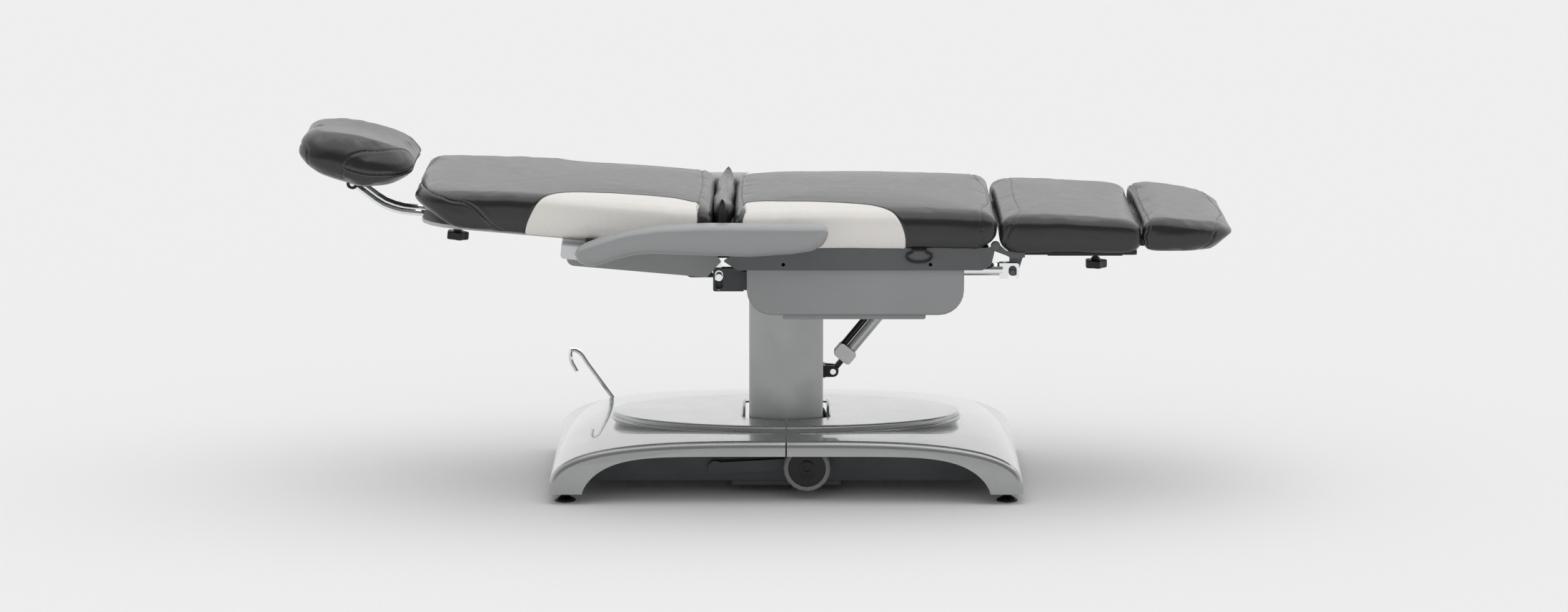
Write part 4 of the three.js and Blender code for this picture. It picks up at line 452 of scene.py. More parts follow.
class Finish:
    """One material: a principled shader with noise, tint and bump helpers."""

    def __init__(self, name, color, roughness, metallic=0.0, **sockets):
        self.material = bpy.data.materials.new(name)
        self.material.use_nodes = True
        self.tree = self.material.node_tree
        self.nodes, self.links = self.tree.nodes, self.tree.links
        self.shader = self.nodes["Principled BSDF"]
        self.shader.inputs["Base Color"].default_value = (*color, 1)
        self.shader.inputs["Roughness"].default_value = roughness
        self.shader.inputs["Metallic"].default_value = metallic
        for socket, value in sockets.items():
            self.shader.inputs[socket.replace("_", " ")].default_value = value
        self.color = color
        self.place = self.nodes.new("ShaderNodeTexCoord").outputs["Object"]
        self.bumped = None
        FINISHES[name] = self.material

    def link(self, source, target):
        self.links.new(source, target)
        return self

    def noise(self, scale, detail=3, roughness=0.5, stretch=None):
        node = self.nodes.new("ShaderNodeTexNoise")
        node.inputs["Scale"].default_value = scale
        node.inputs["Detail"].default_value = detail
        node.inputs["Roughness"].default_value = roughness
        where = self.place
        if stretch:
            mapping = self.nodes.new("ShaderNodeMapping")
            mapping.inputs["Scale"].default_value = stretch
            self.link(self.place, mapping.inputs["Vector"])
            where = mapping.outputs["Vector"]
        self.link(where, node.inputs["Vector"])
        return node.outputs["Fac"]

    def cells(self, scale):
        node = self.nodes.new("ShaderNodeTexVoronoi")
        node.inputs["Scale"].default_value = scale
        self.link(self.place, node.inputs["Vector"])
        return node.outputs["Distance"]

    def attribute(self, name):
        node = self.nodes.new("ShaderNodeAttribute")
        node.attribute_name = name
        return node.outputs["Fac"]

    def spanned(self, value, low, high, to_low=0.0, to_high=1.0):
        return spanned_node(self.tree, value, (low, high), (to_low, to_high))

    def mixed(self, factor, first, second):
        node = self.nodes.new("ShaderNodeMix")
        node.data_type = "RGBA"
        self.link(factor, node.inputs["Factor"])
        for socket, value in ((node.inputs[6], first), (node.inputs[7], second)):
            if isinstance(value, tuple):
                socket.default_value = (*value, 1)
            else:
                self.link(value, socket)
        return node.outputs[2]

    def tint(self, factor, darker, lighter):
        """The colour varies between two multiples of the base colour."""
        first = tuple(min(1.0, c * darker) for c in self.color)
        second = tuple(min(1.0, c * lighter) for c in self.color)
        self.link(self.mixed(factor, first, second), self.shader.inputs["Base Color"])
        return self

    def worn(self, factor, low, high):
        """The roughness varies between two values."""
        self.link(self.spanned(factor, 0.3, 0.7, low, high), self.shader.inputs["Roughness"])
        return self

    def bump(self, height, distance, strength=1.0):
        node = self.nodes.new("ShaderNodeBump")
        node.inputs["Distance"].default_value = distance
        node.inputs["Strength"].default_value = strength
        self.link(height, node.inputs["Height"])
        if self.bumped:
            self.link(self.bumped, node.inputs["Normal"])
        self.bumped = node.outputs["Normal"]
        self.link(self.bumped, self.shader.inputs["Normal"])
        return self


def linear(red, green=None, blue=None):
    """Screen values from 0 to 255 to linear colour."""
    values = (red, red if green is None else green, red if blue is None else blue)
    return tuple(((v / 255 + 0.055) / 1.055) ** 2.4 if v > 10 else v / 255 / 12.92 for v in values)


def plain_finish(name, color, roughness, grain, depth, metallic=0.0, mottle=0.06, **sockets):
    """A finish with fine grain (its scale and its depth in metres), mottling and uneven gloss."""
    f = Finish(name, color, roughness, metallic, **sockets)
    f.tint(f.noise(9, 4), 1 - mottle, 1 + mottle)
    f.worn(f.noise(23, 5, 0.6), roughness * 0.86, roughness * 1.16)
    f.bump(f.noise(grain, 2), depth)
    return f


def make_finishes(colours):
    """All materials of the couch, one for each slot of the record and a few more."""
    silver = Finish("silver", tuple(colours.lacquer), roughness=0.3, metallic=0.75, Coat_Weight=1.0,
                    Coat_Roughness=0.04)
    silver.tint(silver.noise(11, 4), 0.985, 1.012)
    silver.worn(silver.noise(14, 4), 0.25, 0.31)
    silver.bump(silver.noise(60, 2), 0.00001)

    plain_finish("column_grey", linear(174, 176, 176), roughness=0.33, grain=700, depth=0.00002,
                 metallic=0.64, Coat_Weight=0.25, Coat_Roughness=0.2)
    plain_finish("casing_grey", linear(145, 147, 148), roughness=0.48, grain=1500, depth=0.00006)
    plain_finish("plate_grey", linear(94, 96, 98), roughness=0.42, grain=1800, depth=0.00005, metallic=0.3)
    plain_finish("frame_steel", linear(78, 80, 82), roughness=0.45, grain=1600, depth=0.00005, metallic=0.4)
    plain_finish("black_plastic", linear(20, 20, 21), roughness=0.38, grain=1900, depth=0.00004)
    plain_finish("chrome", (0.86, 0.87, 0.88), roughness=0.09, grain=60, depth=0.00001, metallic=1.0,
                 mottle=0.02)
    alloy = Finish("light_alloy", (0.66, 0.67, 0.68), roughness=0.34, metallic=0.45)
    alloy.bump(alloy.noise(160, 3, stretch=(1, 30, 30)), 0.00003)
    alloy.worn(alloy.noise(60, 3, stretch=(1, 18, 18)), 0.24, 0.38)
    plain_finish("tyre", linear(120, 121, 121), roughness=0.7, grain=900, depth=0.00012)
    plain_finish("arm_grey", linear(150, 152, 153), roughness=0.36, grain=1300, depth=0.00005)
    plain_finish("board_black", linear(34, 34, 35), roughness=0.6, grain=500, depth=0.00006)
    board = Finish("board_light", linear(198, 197, 193), roughness=0.5)
    board.tint(board.noise(30, 4, stretch=(1, 9, 9)), 0.92, 1.04)
    board.bump(board.noise(300, 3, stretch=(1, 12, 12)), 0.00004)
    plain_finish("thread", linear(120, 120, 121), roughness=0.8, grain=3000, depth=0.00005)
    plain_finish("screw_zinc", linear(120, 121, 122), roughness=0.3, grain=800, depth=0.00002, metallic=0.9)

    dark = tuple(colours.upholstery)
    pale = tuple(colours.panel)
    cloth = Finish("upholstery", dark, roughness=0.28, Specular_IOR_Level=0.6)
    inside = cloth.spanned(cloth.attribute("panel"), -0.0004, 0.0004)
    blotch = cloth.noise(16, 4)
    first = cloth.mixed(blotch, tuple(c * 0.95 for c in dark), tuple(c * 1.06 for c in dark))
    second = cloth.mixed(blotch, tuple(c * 0.97 for c in pale), tuple(min(1, c * 1.02) for c in pale))
    both = cloth.mixed(inside, first, second)
    # Painted shade: within 0.3 mm of a seam or a panel's edge the colour is 0.35 of the dark leather,
    # easing back to the leather and panel colours by 1.1 mm, in place of the shade in the pressed groove
    seam_shade_fade = cloth.spanned(cloth.attribute("seam"), 0.0003, 0.0011)
    with_seam_shade = cloth.mixed(seam_shade_fade, tuple(c * 0.35 for c in dark), both)
    cloth.link(with_seam_shade, cloth.shader.inputs["Base Color"])
    cloth.worn(cloth.noise(40, 4), 0.26, 0.29)
    cloth.bump(cloth.cells(620), 0.00002, 0.4)
    cloth.bump(cloth.noise(190, 3), 0.000015, 0.3)


# Padded pieces

def even_ring(x0, x1, half, corner_head, corner_foot, count):
    """Evenly spaced points of a rounded rectangle, from the middle of the foot end."""
    points = []

    def corner(cx, cy, radius, start):
        for k in range(13):
            angle = start + math.pi / 2 * k / 12
            points.append((cx + radius * math.cos(angle), cy + radius * math.sin(angle)))

    points.append((x1, 0))
    corner(x1 - corner_foot, half - corner_foot, corner_foot, 0)
    corner(x0 + corner_head, half - corner_head, corner_head, math.pi / 2)
    corner(x0 + corner_head, -half + corner_head, corner_head, math.pi)
    corner(x1 - corner_foot, -half + corner_foot, corner_foot, 1.5 * math.pi)
    points.append((x1, 0))
    p = np.array(points)
    run = np.concatenate([[0], np.cumsum(np.linalg.norm(np.diff(p, axis=0), axis=1))])
    at = np.linspace(0, run[-1], count, endpoint=False)
    return np.stack([np.interp(at, run, p[:, 0]), np.interp(at, run, p[:, 1])], axis=1)


def eased(table, share):
    """A smooth value along a table of equally spaced shares."""
    at = np.clip(share, 0, 1) * (len(table) - 1)
    low = np.minimum(np.floor(at).astype(int), len(table) - 2)
    t = at - low
    ease = 0.5 * t + 0.5 * t * t * (3 - 2 * t)
    values = np.asarray(table, float)
    return values[low] + (values[low + 1] - values[low]) * ease


def pad_rings(pad, inset, count=200):
    """Rings of a pad in its own frame, drawn in all round by an inset."""
    def tuck(table, h):
        reach, rise, power = table
        return reach * min(1.0, max(0.0, 1 - h / rise)) ** power

    def rounding(h, edge):
        left = min(max(edge - (pad["thick"] - h), 0), edge)
        return edge - math.sqrt(edge ** 2 - left ** 2)

    def ring_at(level, shrink=1.0):
        h = level * pad["thick"]
        r = rounding(h, pad["edge"])
        head, foot = (tuck(pad[k], h) + r + inset for k in ("tuck_head", "tuck_foot"))
        side = tuck(pad["tuck_side"], h) + rounding(h, pad.get("side_edge", pad["edge"])) + inset
        corners = [max(c - 0.5 * r - inset, 4) for c in pad["corners"]]
        flat = even_ring(pad["head"] + head, pad["foot"] - foot, pad["half"] - side, *corners, count)
        middle = (pad["head"] + pad["foot"]) / 2
        flat = np.stack([middle + (flat[:, 0] - middle) * shrink, flat[:, 1] * shrink], axis=1)
        return np.column_stack([flat, np.full(count, level)])

    share = inset / pad["thick"]
    below_top = np.array([0.33, 0.26, 0.2, 0.15, 0.1, 0.06, 0.03, 0.01, 0])
    levels = np.concatenate([np.linspace(share, 0.6, 12), 1 - below_top])
    rings = [ring_at(levels[0], s) for s in (0.02, 0.3, 0.6, 0.85)]
    rings += [ring_at(level) for level in levels]
    for s in (0.93, 0.8, 0.6, 0.4, 0.2, 0.02):
        ring = ring_at(1.0, s)
        ring[:, 2] = 1 + (pad["crown"] / pad["thick"]) * (1 - s * s)
        rings.append(ring)
    return rings


def pad_points(pad, ring, inset, shift=None):
    """Levels of a ring turned into heights between the pad's bottom and top lines."""
    t = (ring[:, 0] - pad["head"]) / (pad["foot"] - pad["head"])
    bottom = pad["low"] + pad["thick"] * eased(pad["bottom"], t)
    across = np.abs(ring[:, 1]) / pad["half"]
    top = pad["low"] + pad["thick"] * eased(pad["top"], t) - inset - FILL_RISE
    top = top + eased(pad["rise"], t) * (1 - across ** 4)
    z = bottom + (top - bottom) * ring[:, 2]
    if shift:
        z = z + shift(ring, t)
    return np.column_stack([ring[:, 0], ring[:, 1], z])


def puff(obj, cap):
    """Cloth under pressure, with the movement of each point capped."""
    start = places_of(obj.data)
    scene = bpy.context.scene
    cloth = obj.modifiers.new("fill", "CLOTH")
    settings = cloth.settings
    settings.quality = FILLING["quality"]
    settings.mass = FILLING["mass"]
    settings.tension_stiffness = settings.compression_stiffness = FILLING["stretch"]
    settings.shear_stiffness = FILLING["shear"]
    settings.bending_stiffness = FILLING["bend"]
    settings.use_pressure = True
    settings.uniform_pressure_force = FILLING["pressure"]
    settings.effector_weights.gravity = 0
    cloth.point_cache.frame_start = 1
    cloth.point_cache.frame_end = FILLING["frames"]
    for number in range(1, FILLING["frames"] + 1):
        scene.frame_set(number)
    graph = bpy.context.evaluated_depsgraph_get()
    step = places_of(obj.evaluated_get(graph).data) - start
    length = np.linalg.norm(step, axis=1)
    step *= np.minimum(1, cap / np.maximum(length, 1e-9))[:, None]
    obj.modifiers.clear()
    obj.data.vertices.foreach_set("co", (start + step).ravel())
    obj.data.update()
    scene.frame_set(1)
    return obj


def seam_lines(seams, place, tree):
    """Each seam's points on a surface, its near and far sides as one line where they meet."""
    lines = []
    for points, rows in seams.values():
        near = spread(points, 1.0)
        far = near * [1, -1, 1]
        meet = abs(near[0][1]) < 1
        for group in [np.concatenate([near[::-1], far[1:]])] if meet else [near, far]:
            line = [tree.find_nearest(Vector(p))[0] for p in place(group)]
            lines.append((np.array([tuple(p) for p in line]), rows))
    return lines


def signed_reach(outline, along, up):
    """Distance inside (+) or outside (-) a closed outline, in its own plane."""
    polygon = np.asarray(outline, float)
    nxt = np.roll(polygon, -1, axis=0)
    p = np.stack([along, up], axis=1)
    best = np.full(len(p), 1e9)
    inside = np.zeros(len(p), bool)
    for a, b in zip(polygon, nxt):
        d = b - a
        t = np.clip(((p - a) @ d) / (d @ d), 0, 1)
        best = np.minimum(best, np.linalg.norm(p - a - t[:, None] * d, axis=1))
        crosses = (a[1] > p[:, 1]) != (b[1] > p[:, 1])
        with np.errstate(divide="ignore", invalid="ignore"):
            x = a[0] + (p[:, 1] - a[1]) * (b[0] - a[0]) / (b[1] - a[1])
        inside ^= crosses & (p[:, 0] < x)
    return np.where(inside, best, -best)


def to_own(pivot, degrees, points):
    """Row-frame metres back to a section's own millimetres."""
    p = np.asarray(points) / MM - [BASE_X, 0, 0]
    if not degrees:
        return p
    turn = math.radians(degrees)
    dx, dz = p[:, 0] - pivot[0], p[:, 2] - pivot[1]
    u = dx * math.cos(turn) - dz * math.sin(turn)
    w = dx * math.sin(turn) + dz * math.cos(turn)
    return np.column_stack([u, p[:, 1], w])


def pressed(reach, shape, pucker=1.0):
    """How far points near a seam move out (+) or in (-)."""
    dip = np.exp(-((reach / shape["width"]) ** 2))
    ridge = np.exp(-(((abs(reach) - shape["swell_at"]) / shape["swell_width"]) ** 2))
    return shape["swell"] * ridge - shape["press"] * dip * pucker


def sewn(obj, pad, place, seams, panel, pivot, degrees):
    """Presses the seams into a pad and writes the panel and seam attributes."""
    tree = BVHTree.FromObject(obj, bpy.context.evaluated_depsgraph_get())
    lines = seam_lines(seams, place, tree)
    dots = np.concatenate([line for line, _ in lines])
    finder = KDTree(len(dots))
    for index, dot in enumerate(dots):
        finder.insert(dot, index)
    finder.balance()

    panel_line = spread(panel, 4.0) if panel else None

    def panel_reach(co):
        own = to_own(pivot, degrees, co)
        up = own[:, 2] - pad["low"] + pad["half"] - abs(own[:, 1])
        return signed_reach(panel_line, own[:, 0], up) * MM

    def finer(bm):
        close = np.array([finder.find(v.co)[2] < FINER_REACH for v in bm.verts])
        if panel:
            close |= abs(panel_reach(np.array([v.co for v in bm.verts]))) < FINER_REACH
        edges = [e for e in bm.edges if close[e.verts[0].index] and close[e.verts[1].index]]
        bmesh.ops.subdivide_edges(bm, edges=edges, cuts=1, use_grid_fill=True)
        bmesh.ops.triangulate(bm, faces=[f for f in bm.faces if len(f.verts) > 4])

    edit(obj, finer)
    mesh = obj.data
    co = places_of(mesh)
    normal = np.array([v.normal for v in mesh.vertices])
    found = [finder.find(Vector(p)) for p in co]
    reach = np.array([f[2] for f in found])
    index = np.array([f[1] for f in found], float)
    waves = np.sin(index * PUCKER["quick"]) * np.sin(index * PUCKER["slow"] + PUCKER["start"])
    pucker = PUCKER["mean"] + PUCKER["swing"] * waves
    depth = pressed(reach, SEAM, pucker)
    inside = np.full(len(co), -1.0)
    if panel:
        inside = panel_reach(co)
        depth += pressed(inside, PANEL_EDGE)
        reach = np.minimum(reach, abs(inside))
    mesh.vertices.foreach_set("co", (co + normal * depth[:, None]).ravel())
    # The seam attribute, each point's distance to the nearest seam or panel edge, is where the upholstery
    # finish paints shade
    write_layers(mesh, panel=inside, seam=reach)
    return lines


def make_pad(name, node, pad, place, seams, voxel, cap, panel=None, pivot=None, degrees=0, shift=None):
    """One padded section: lofted, filled by cloth pressure, sewn and put on its body."""
    rings = [place(pad_points(pad, ring, PAD_INSET, shift)) for ring in pad_rings(pad, PAD_INSET)]
    obj = remeshed(loft_object(name, rings), voxel)
    puff(obj, cap)
    settle(obj, 3, 0.4)
    baked(obj)
    subdivided(obj, name)
    coat(obj, "upholstery")
    shade_smooth(obj)
    lines = sewn(obj, pad, place, seams, panel, pivot, degrees)
    dress(obj, NODE_BODY[node], node)
    stitch_rows(name, lines, obj, NODE_BODY[node])
    return obj


# Stitches

def stitch_tree():
    """Instances of one stitch along a line, as a geometry node tree."""
    tree = bpy.data.node_groups.new("Stitches", "GeometryNodeTree")
    interface = tree.interface
    interface.new_socket("Geometry", in_out="INPUT", socket_type="NodeSocketGeometry")
    sizes = (("Pitch", STITCH["pitch"]), ("Length", STITCH["length"]), ("Radius", STITCH["radius"]))
    for label, value in sizes:
        socket = interface.new_socket(label, in_out="INPUT", socket_type="NodeSocketFloat")
        socket.default_value = value
    interface.new_socket("Material", in_out="INPUT", socket_type="NodeSocketMaterial")
    interface.new_socket("Geometry", in_out="OUTPUT", socket_type="NodeSocketGeometry")
    nodes, links = tree.nodes, tree.links
    given = nodes.new("NodeGroupInput")
    result = nodes.new("NodeGroupOutput")
    curve = nodes.new("GeometryNodeMeshToCurve")
    resample = nodes.new("GeometryNodeResampleCurve")
    resample.mode = "LENGTH"
    align = nodes.new("FunctionNodeAlignRotationToVector")
    align.axis = "Z"
    tangent = nodes.new("GeometryNodeInputTangent")
    thread = nodes.new("GeometryNodeMeshCylinder")
    thread.inputs["Vertices"].default_value = 8
    thread.inputs["Side Segments"].default_value = 2
    place = nodes.new("GeometryNodeInstanceOnPoints")
    real = nodes.new("GeometryNodeRealizeInstances")
    paint = nodes.new("GeometryNodeSetMaterial")
    for source, given_by, target, taken_by in (
        (given, "Geometry", curve, "Mesh"), (curve, "Curve", resample, "Curve"),
        (given, "Pitch", resample, "Length"), (given, "Length", thread, "Depth"),
        (given, "Radius", thread, "Radius"), (tangent, "Tangent", align, "Vector"),
        (resample, "Curve", place, "Points"), (thread, "Mesh", place, "Instance"),
        (align, "Rotation", place, "Rotation"), (place, "Instances", real, "Geometry"),
        (real, "Geometry", paint, "Geometry"), (given, "Material", paint, "Material"),
        (paint, "Geometry", result, "Geometry"),
    ):
        links.new(source.outputs[given_by], target.inputs[taken_by])
    return tree


def stitch_rows(name, lines, obj, body):
    """Rows of stitches beside the seams that have them, one mesh for the pad."""
    tree = BVHTree.FromObject(obj, bpy.context.evaluated_depsgraph_get())
    points, edges = [], []
    for line, rows in lines:
        if not rows:
            continue
        side = np.zeros_like(line)
        for i, p in enumerate(line):
            ahead = line[min(i + 1, len(line) - 1)] - line[max(i - 1, 0)]
            normal = tree.find_nearest(Vector(p))[1]
            side[i] = Vector(ahead).cross(normal).normalized()
        for offset in (STITCH["beside"], -STITCH["beside"])[:rows]:
            first = len(points)
            for p in line + side * offset:
                hit = tree.find_nearest(Vector(p))
                points.append(hit[0] + hit[1] * STITCH["above"])
            edges += [(k, k + 1) for k in range(first, len(points) - 1)]
    if not points:
        return None
    mesh = bpy.data.meshes.new(name + "_stitches")
    mesh.from_pydata([tuple(p) for p in points], edges, [])
    row = linked(name + "_stitches", mesh)
    modifier = row.modifiers.new("stitches", "NODES")
    modifier.node_group = bpy.data.node_groups.get("Stitches") or stitch_tree()
    for item in modifier.node_group.interface.items_tree:
        if item.in_out == "INPUT" and item.name == "Material":
            modifier[item.identifier] = FINISHES["thread"]
    bpy.context.view_layer.update()
    baked(row, name + "_stitches")
    return dress(row, body, slot="upholstery")


def make_bolster():
    """The limp roll in the gap: a ridge with an ear at each end, leaning over at the far one."""
    b = BOLSTER
    rings = []
    count, stations = 72, 90
    for s in range(stations + 1):
        share = 2 * s / stations - 1
        y = b["half"] * share * 0.985
        end = (1 - abs(share) ** b["end_power"]) ** 0.5 if abs(share) < 1 else 0
        full = b["end_width"] + (1 - b["end_width"]) * end
        peak = b["high"] * (b["peak"] + b["ear"] * share ** b["ear_power"] - b["far_drop"] * share)
        sway = b["sway"] * math.sin(share * b["sway_turn"]) * (1 - share * share)
        lean = b["lean"] * (0.5 + 0.5 * share) ** 2 + sway
        ring = []
        for i in range(count):
            angle = 2 * math.pi * i / count
            up = (1 + math.sin(angle)) / 2
            taper = (1 - up ** b["ridge_power"]) ** b["ridge_round"] + b["ridge_width"]
            foot = min(1, b["foot_width"] + b["foot_growth"] * up)
            width = b["thick"] / 2 * math.copysign(abs(math.cos(angle)) ** 0.5, math.cos(angle))
            x = b["x"] + width * taper * foot * full + lean * up ** b["lean_power"]
            ring.append((x, y, b["low"] + peak * up))
        rings.append(level_place(ring))
    obj = remeshed(face_outward(loft_object("gap_bolster_roll", rings)), b["voxel"])
    puff(obj, b["swell"])
    subdivided(obj, "gap_bolster_roll")
    pinch_ends(obj)
    coat(obj, "upholstery")
    shade_smooth(obj)
    dress(obj, "seat", "gap_bolster")
    return obj


def pinch_ends(obj):
    """Presses an upright seam into both ends of the roll."""
    b = BOLSTER
    mesh = obj.data
    co = places_of(mesh)
    own = co / MM - [BASE_X, 0, 0]
    up = np.clip((own[:, 2] - b["low"]) / b["high"], 0, 1)
    middle = b["x"] + np.where(own[:, 1] > 0, b["lean"], 0) * up ** b["lean_power"]
    across = abs(own[:, 0] - middle)
    at_end = np.clip((abs(own[:, 1]) - b["half"] + b["seam_reach"]) / b["seam_ease"], 0, 1)
    press = b["seam_press"] * at_end * np.exp(-((across / b["seam_width"]) ** 2)) * MM
    co[:, 1] -= np.sign(own[:, 1]) * press
    # The seam attribute marks the end seams, where the upholstery finish paints shade
    seam = np.where(at_end > 0.2, across * MM, 1.0)
    mesh.vertices.foreach_set("co", co.ravel())
    write_layers(mesh, panel=np.full(len(co), -1.0), seam=seam)


def make_armrest(side, sign):
    """A moulded armrest: soft sections along its length."""
    a = ARM
    stations, count = 120, 72
    rings = []
    for s in range(stations + 1):
        angle = math.pi * s / stations
        x = 0.5 - 0.5 * math.cos(angle)
        low = np.interp(x, *zip(*ARM_LOWER))
        high = np.interp(x, *zip(*ARM_UPPER))
        plan = max(1 - abs(2 * x - 1) ** a["square_ends"], 0) ** 0.5
        half_y = a["width"] / 2 * (a["end_width"] + (1 - a["end_width"]) * plan)
        waist = low + a["waist"] * (high - low)
        ring = []
        for i in range(count):
            t = 2 * math.pi * i / count
            c, n = math.cos(t), math.sin(t)
            power = 2 / a["square_top"] if n > 0 else 2 / a["round_under"]
            reach = max(high - waist if n > 0 else waist - low, 0.001)
            across = math.copysign(abs(c) ** power, c)
            up = waist + reach * math.copysign(abs(n) ** power, n)
            ring.append((
                a["head"] + x * a["length"],
                sign * (a["inner"] + a["width"] / 2) + half_y * across,
                a["low"] + a["height"] * up + (a["crown"] * plan * (1 - across ** 2) if n > 0 else 0),
            ))
        rings.append(level_place(ring))
    name = f"armrest_pad_{side}"
    obj = face_outward(loft_object(name, rings, "arm_grey"))
    settle(obj, 4)
    subdivided(obj, name)
    shade_smooth(obj)
    return dress(obj, NODE_BODY[f"armrest_{side}"], f"armrest_{side}")


# Base covers

def superellipse(half, rise, low, powers, steps):
    """An arch from one foot to the other, as (x, z)."""
    out = []
    for i in range(steps + 1):
        angle = math.pi * (1 - i / steps)
        c, s = math.cos(angle), max(math.sin(angle), 0)
        x = half * math.copysign(abs(c) ** (2 / powers[0]), c)
        out.append((x, low + rise * s ** (2 / powers[1])))
    out[0], out[-1] = (-half, low), (half, low)
    return out


def slab(name, profile, y0, y1, ridge=0, steps=5):
    """A closed slab across Y from an (x, z) profile, with rounded long edges."""
    p = np.asarray(profile, float)
    nxt, last = np.roll(p, -1, axis=0), np.roll(p, 1, axis=0)
    run = nxt - last
    normal = np.stack([run[:, 1], -run[:, 0]], axis=1)
    normal /= np.maximum(np.linalg.norm(normal, axis=1), 1e-9)[:, None]
    if np.sum(p[:, 0] * nxt[:, 1] - nxt[:, 0] * p[:, 1]) < 0:
        normal = -normal
    levels = [(y0, 0.0), (y1, 0.0)]
    if ridge:
        angles = [math.pi / 2 * k / steps for k in range(steps + 1)]
        quarter = [(ridge * (1 - math.sin(a)), ridge * (1 - math.cos(a))) for a in angles]
        levels = [(y0 + d, inset) for d, inset in quarter[::-1]]
        levels += [(y1 - d, inset) for d, inset in quarter]
    rings = []
    for y, inset in levels:
        flat = p - normal * inset
        rings.append(level_place(np.column_stack([flat[:, 0], np.full(len(p), y), flat[:, 1]])))
    count = len(p)
    faces = loft_faces(len(rings), count, closed_ends=False)
    faces += [tuple(range(count)), tuple(range((len(rings) - 1) * count, len(rings) * count))]
    return face_outward(mesh_object(name, np.concatenate(rings), faces))


def column_profile(grow_x, grow_y):
    """The column's outline in plan, with bulged near and far sides."""
    c = COLUMN
    half, corner, swell = c["half_x"] + grow_x, c["corner"] + grow_y, c["bulge"] - c["corner"]
    side = [(share * half, -(corner + swell * (1 - share * share))) for share in np.linspace(-1, 1, 33)]
    return side + [(-x, -y) for x, y in side]


def prism(name, outline, z0, z1):
    """A closed upright prism from an (x, y) outline."""
    count = len(outline)
    points = [(x, y, z) for z in (z0, z1) for x, y in outline]
    faces = loft_faces(2, count, closed_ends=False)
    faces += [tuple(range(count)), tuple(range(count, 2 * count))]
    return face_outward(mesh_object(name, level_place(points), faces))


def plinth_object(inset):
    """The oval plinth: a flared lower tier, a groove and a rounded upper tier."""
    p = PLINTH
    count = 160
    angles = 2 * math.pi * (np.arange(count) + 0.5) / count
    rings = []
    for in_x, in_y, z in p["tiers"]:
        x = (p["foot_x"] - inset - in_x) * np.cos(angles)
        y = (p["foot_y"] - inset - in_y) * np.sin(angles)
        height = np.full(count, z - inset * (z > p["waist"]))
        rings.append(level_place(np.column_stack([x, y, height])))
    return loft_object("plinth", rings)


def lip_object(sign):
    """A low curved lip beside the column."""
    low = PLINTH["top"]
    sunk = low - 2
    inner = COLUMN["half_x"] + LIP["gap"]
    outer = inner + LIP["thick"]
    rings = []
    for s in np.linspace(-1, 1, 25):
        high = max(LIP["height"] * (1 - s * s), 0.2)
        y = s * LIP["half"]
        top, shoulder = low + high, low + high - 0.6
        section = [
            (inner, sunk), (outer + LIP["slope"], sunk), (outer + 0.5 * LIP["slope"], low + high * 0.6),
            (outer, shoulder), (outer - 1, top), (inner + 1, top), (inner, shoulder),
        ]
        rings.append(level_place([(sign * x, sign * y, z) for x, z in section]))
    return face_outward(loft_object("lip", rings))


def box_object(name, low, high):
    """A plain box, used only as a cutting tool."""
    (x0, y0, z0), (x1, y1, z1) = low, high
    return prism(name, [(x0, y0), (x1, y0), (x1, y1), (x0, y1)], z0, z1)


def make_covers():
    """Both base covers, from one fine shell split at the middle."""
    c = COVER
    foot, depth, wall = c["foot"], c["depth"], c["wall"]
    sink = 2 * c["ridge"]
    steps = 120

    def arch(half, rise, powers, below):
        profile = superellipse(half, rise, foot, powers, steps)
        return profile + [(half, foot - below), (-half, foot - below)]

    outer = arch(c["half"], c["rise"], c["powers"], sink)
    shell = slab("cover", outer, -depth, depth, c["ridge"])
    shell = boolean(shell, plinth_object(0), "UNION")
    inner = arch(c["half"] - wall, c["rise"] - wall, c["powers"], sink + PAST)
    cavity = slab("cavity", inner, -depth + wall, depth - wall, c["ridge"] - wall)
    cavity = boolean(cavity, plinth_object(wall), "UNION")
    shell = boolean(shell, cavity, "DIFFERENCE")
    opening = arch(ARCH["half"], ARCH["rise"], ARCH["powers"], ARCH["below"])
    shell = boolean(shell, slab("opening", opening, -depth - PAST, depth + PAST), "DIFFERENCE")
    hole = column_profile(LIP["gap"], LIP["gap"] / 2)
    shell = boolean(shell, prism("hole", hole, COLUMN["hole_low"], PLINTH["top"] + PAST), "DIFFERENCE")
    reach = c["half"] + PAST
    side = depth + PAST
    below = box_object("low", (-reach, -side, c["cut_low"]), (reach, side, foot))
    shell = boolean(shell, below, "DIFFERENCE")
    for sign in (1, -1):
        shell = boolean(shell, lip_object(sign), "UNION")
    for end, x0, x1 in (("head", -reach, -c["split"] / 2), ("foot", c["split"] / 2, reach)):
        half = linked("half", shell.data.copy())
        kept = box_object("kept", (x0, -side, 0), (x1, side, c["cut_high"]))
        half = boolean(half, kept, "INTERSECT")
        half.name = half.data.name = f"cover_{end}"
        coat(half, "silver")
        edit(half, lambda bm: bmesh.ops.remove_doubles(bm, verts=bm.verts, dist=MERGE))
        split = (BASE_X + math.copysign(c["split"] / 2, x0 + x1)) * MM
        round_edges(half, SPLIT_ROUND, lambda co, x=split: abs(co.x - x) < AT_SPLIT, 3)
        smooth_by_angle(half, COVER_SHARP_FROM)
        dress(half, "base", f"base_cover_{end}")
    bpy.data.objects.remove(shell)


# Carried-over pieces, with softened edges

def round_edges(obj, offset, chosen, segments):
    """Rounds the sharp edges whose two ends both lie where chosen says."""

    def work(bm):
        edges = [e for e in bm.edges if len(e.link_faces) == 2 and e.calc_face_angle(0) > 0.5
                 and all(chosen(v.co) for v in e.verts)]
        bmesh.ops.bevel(bm, geom=edges, offset=offset, segments=segments, profile=0.5, affect="EDGES",
                        clamp_overlap=True)

    return edit(obj, work)


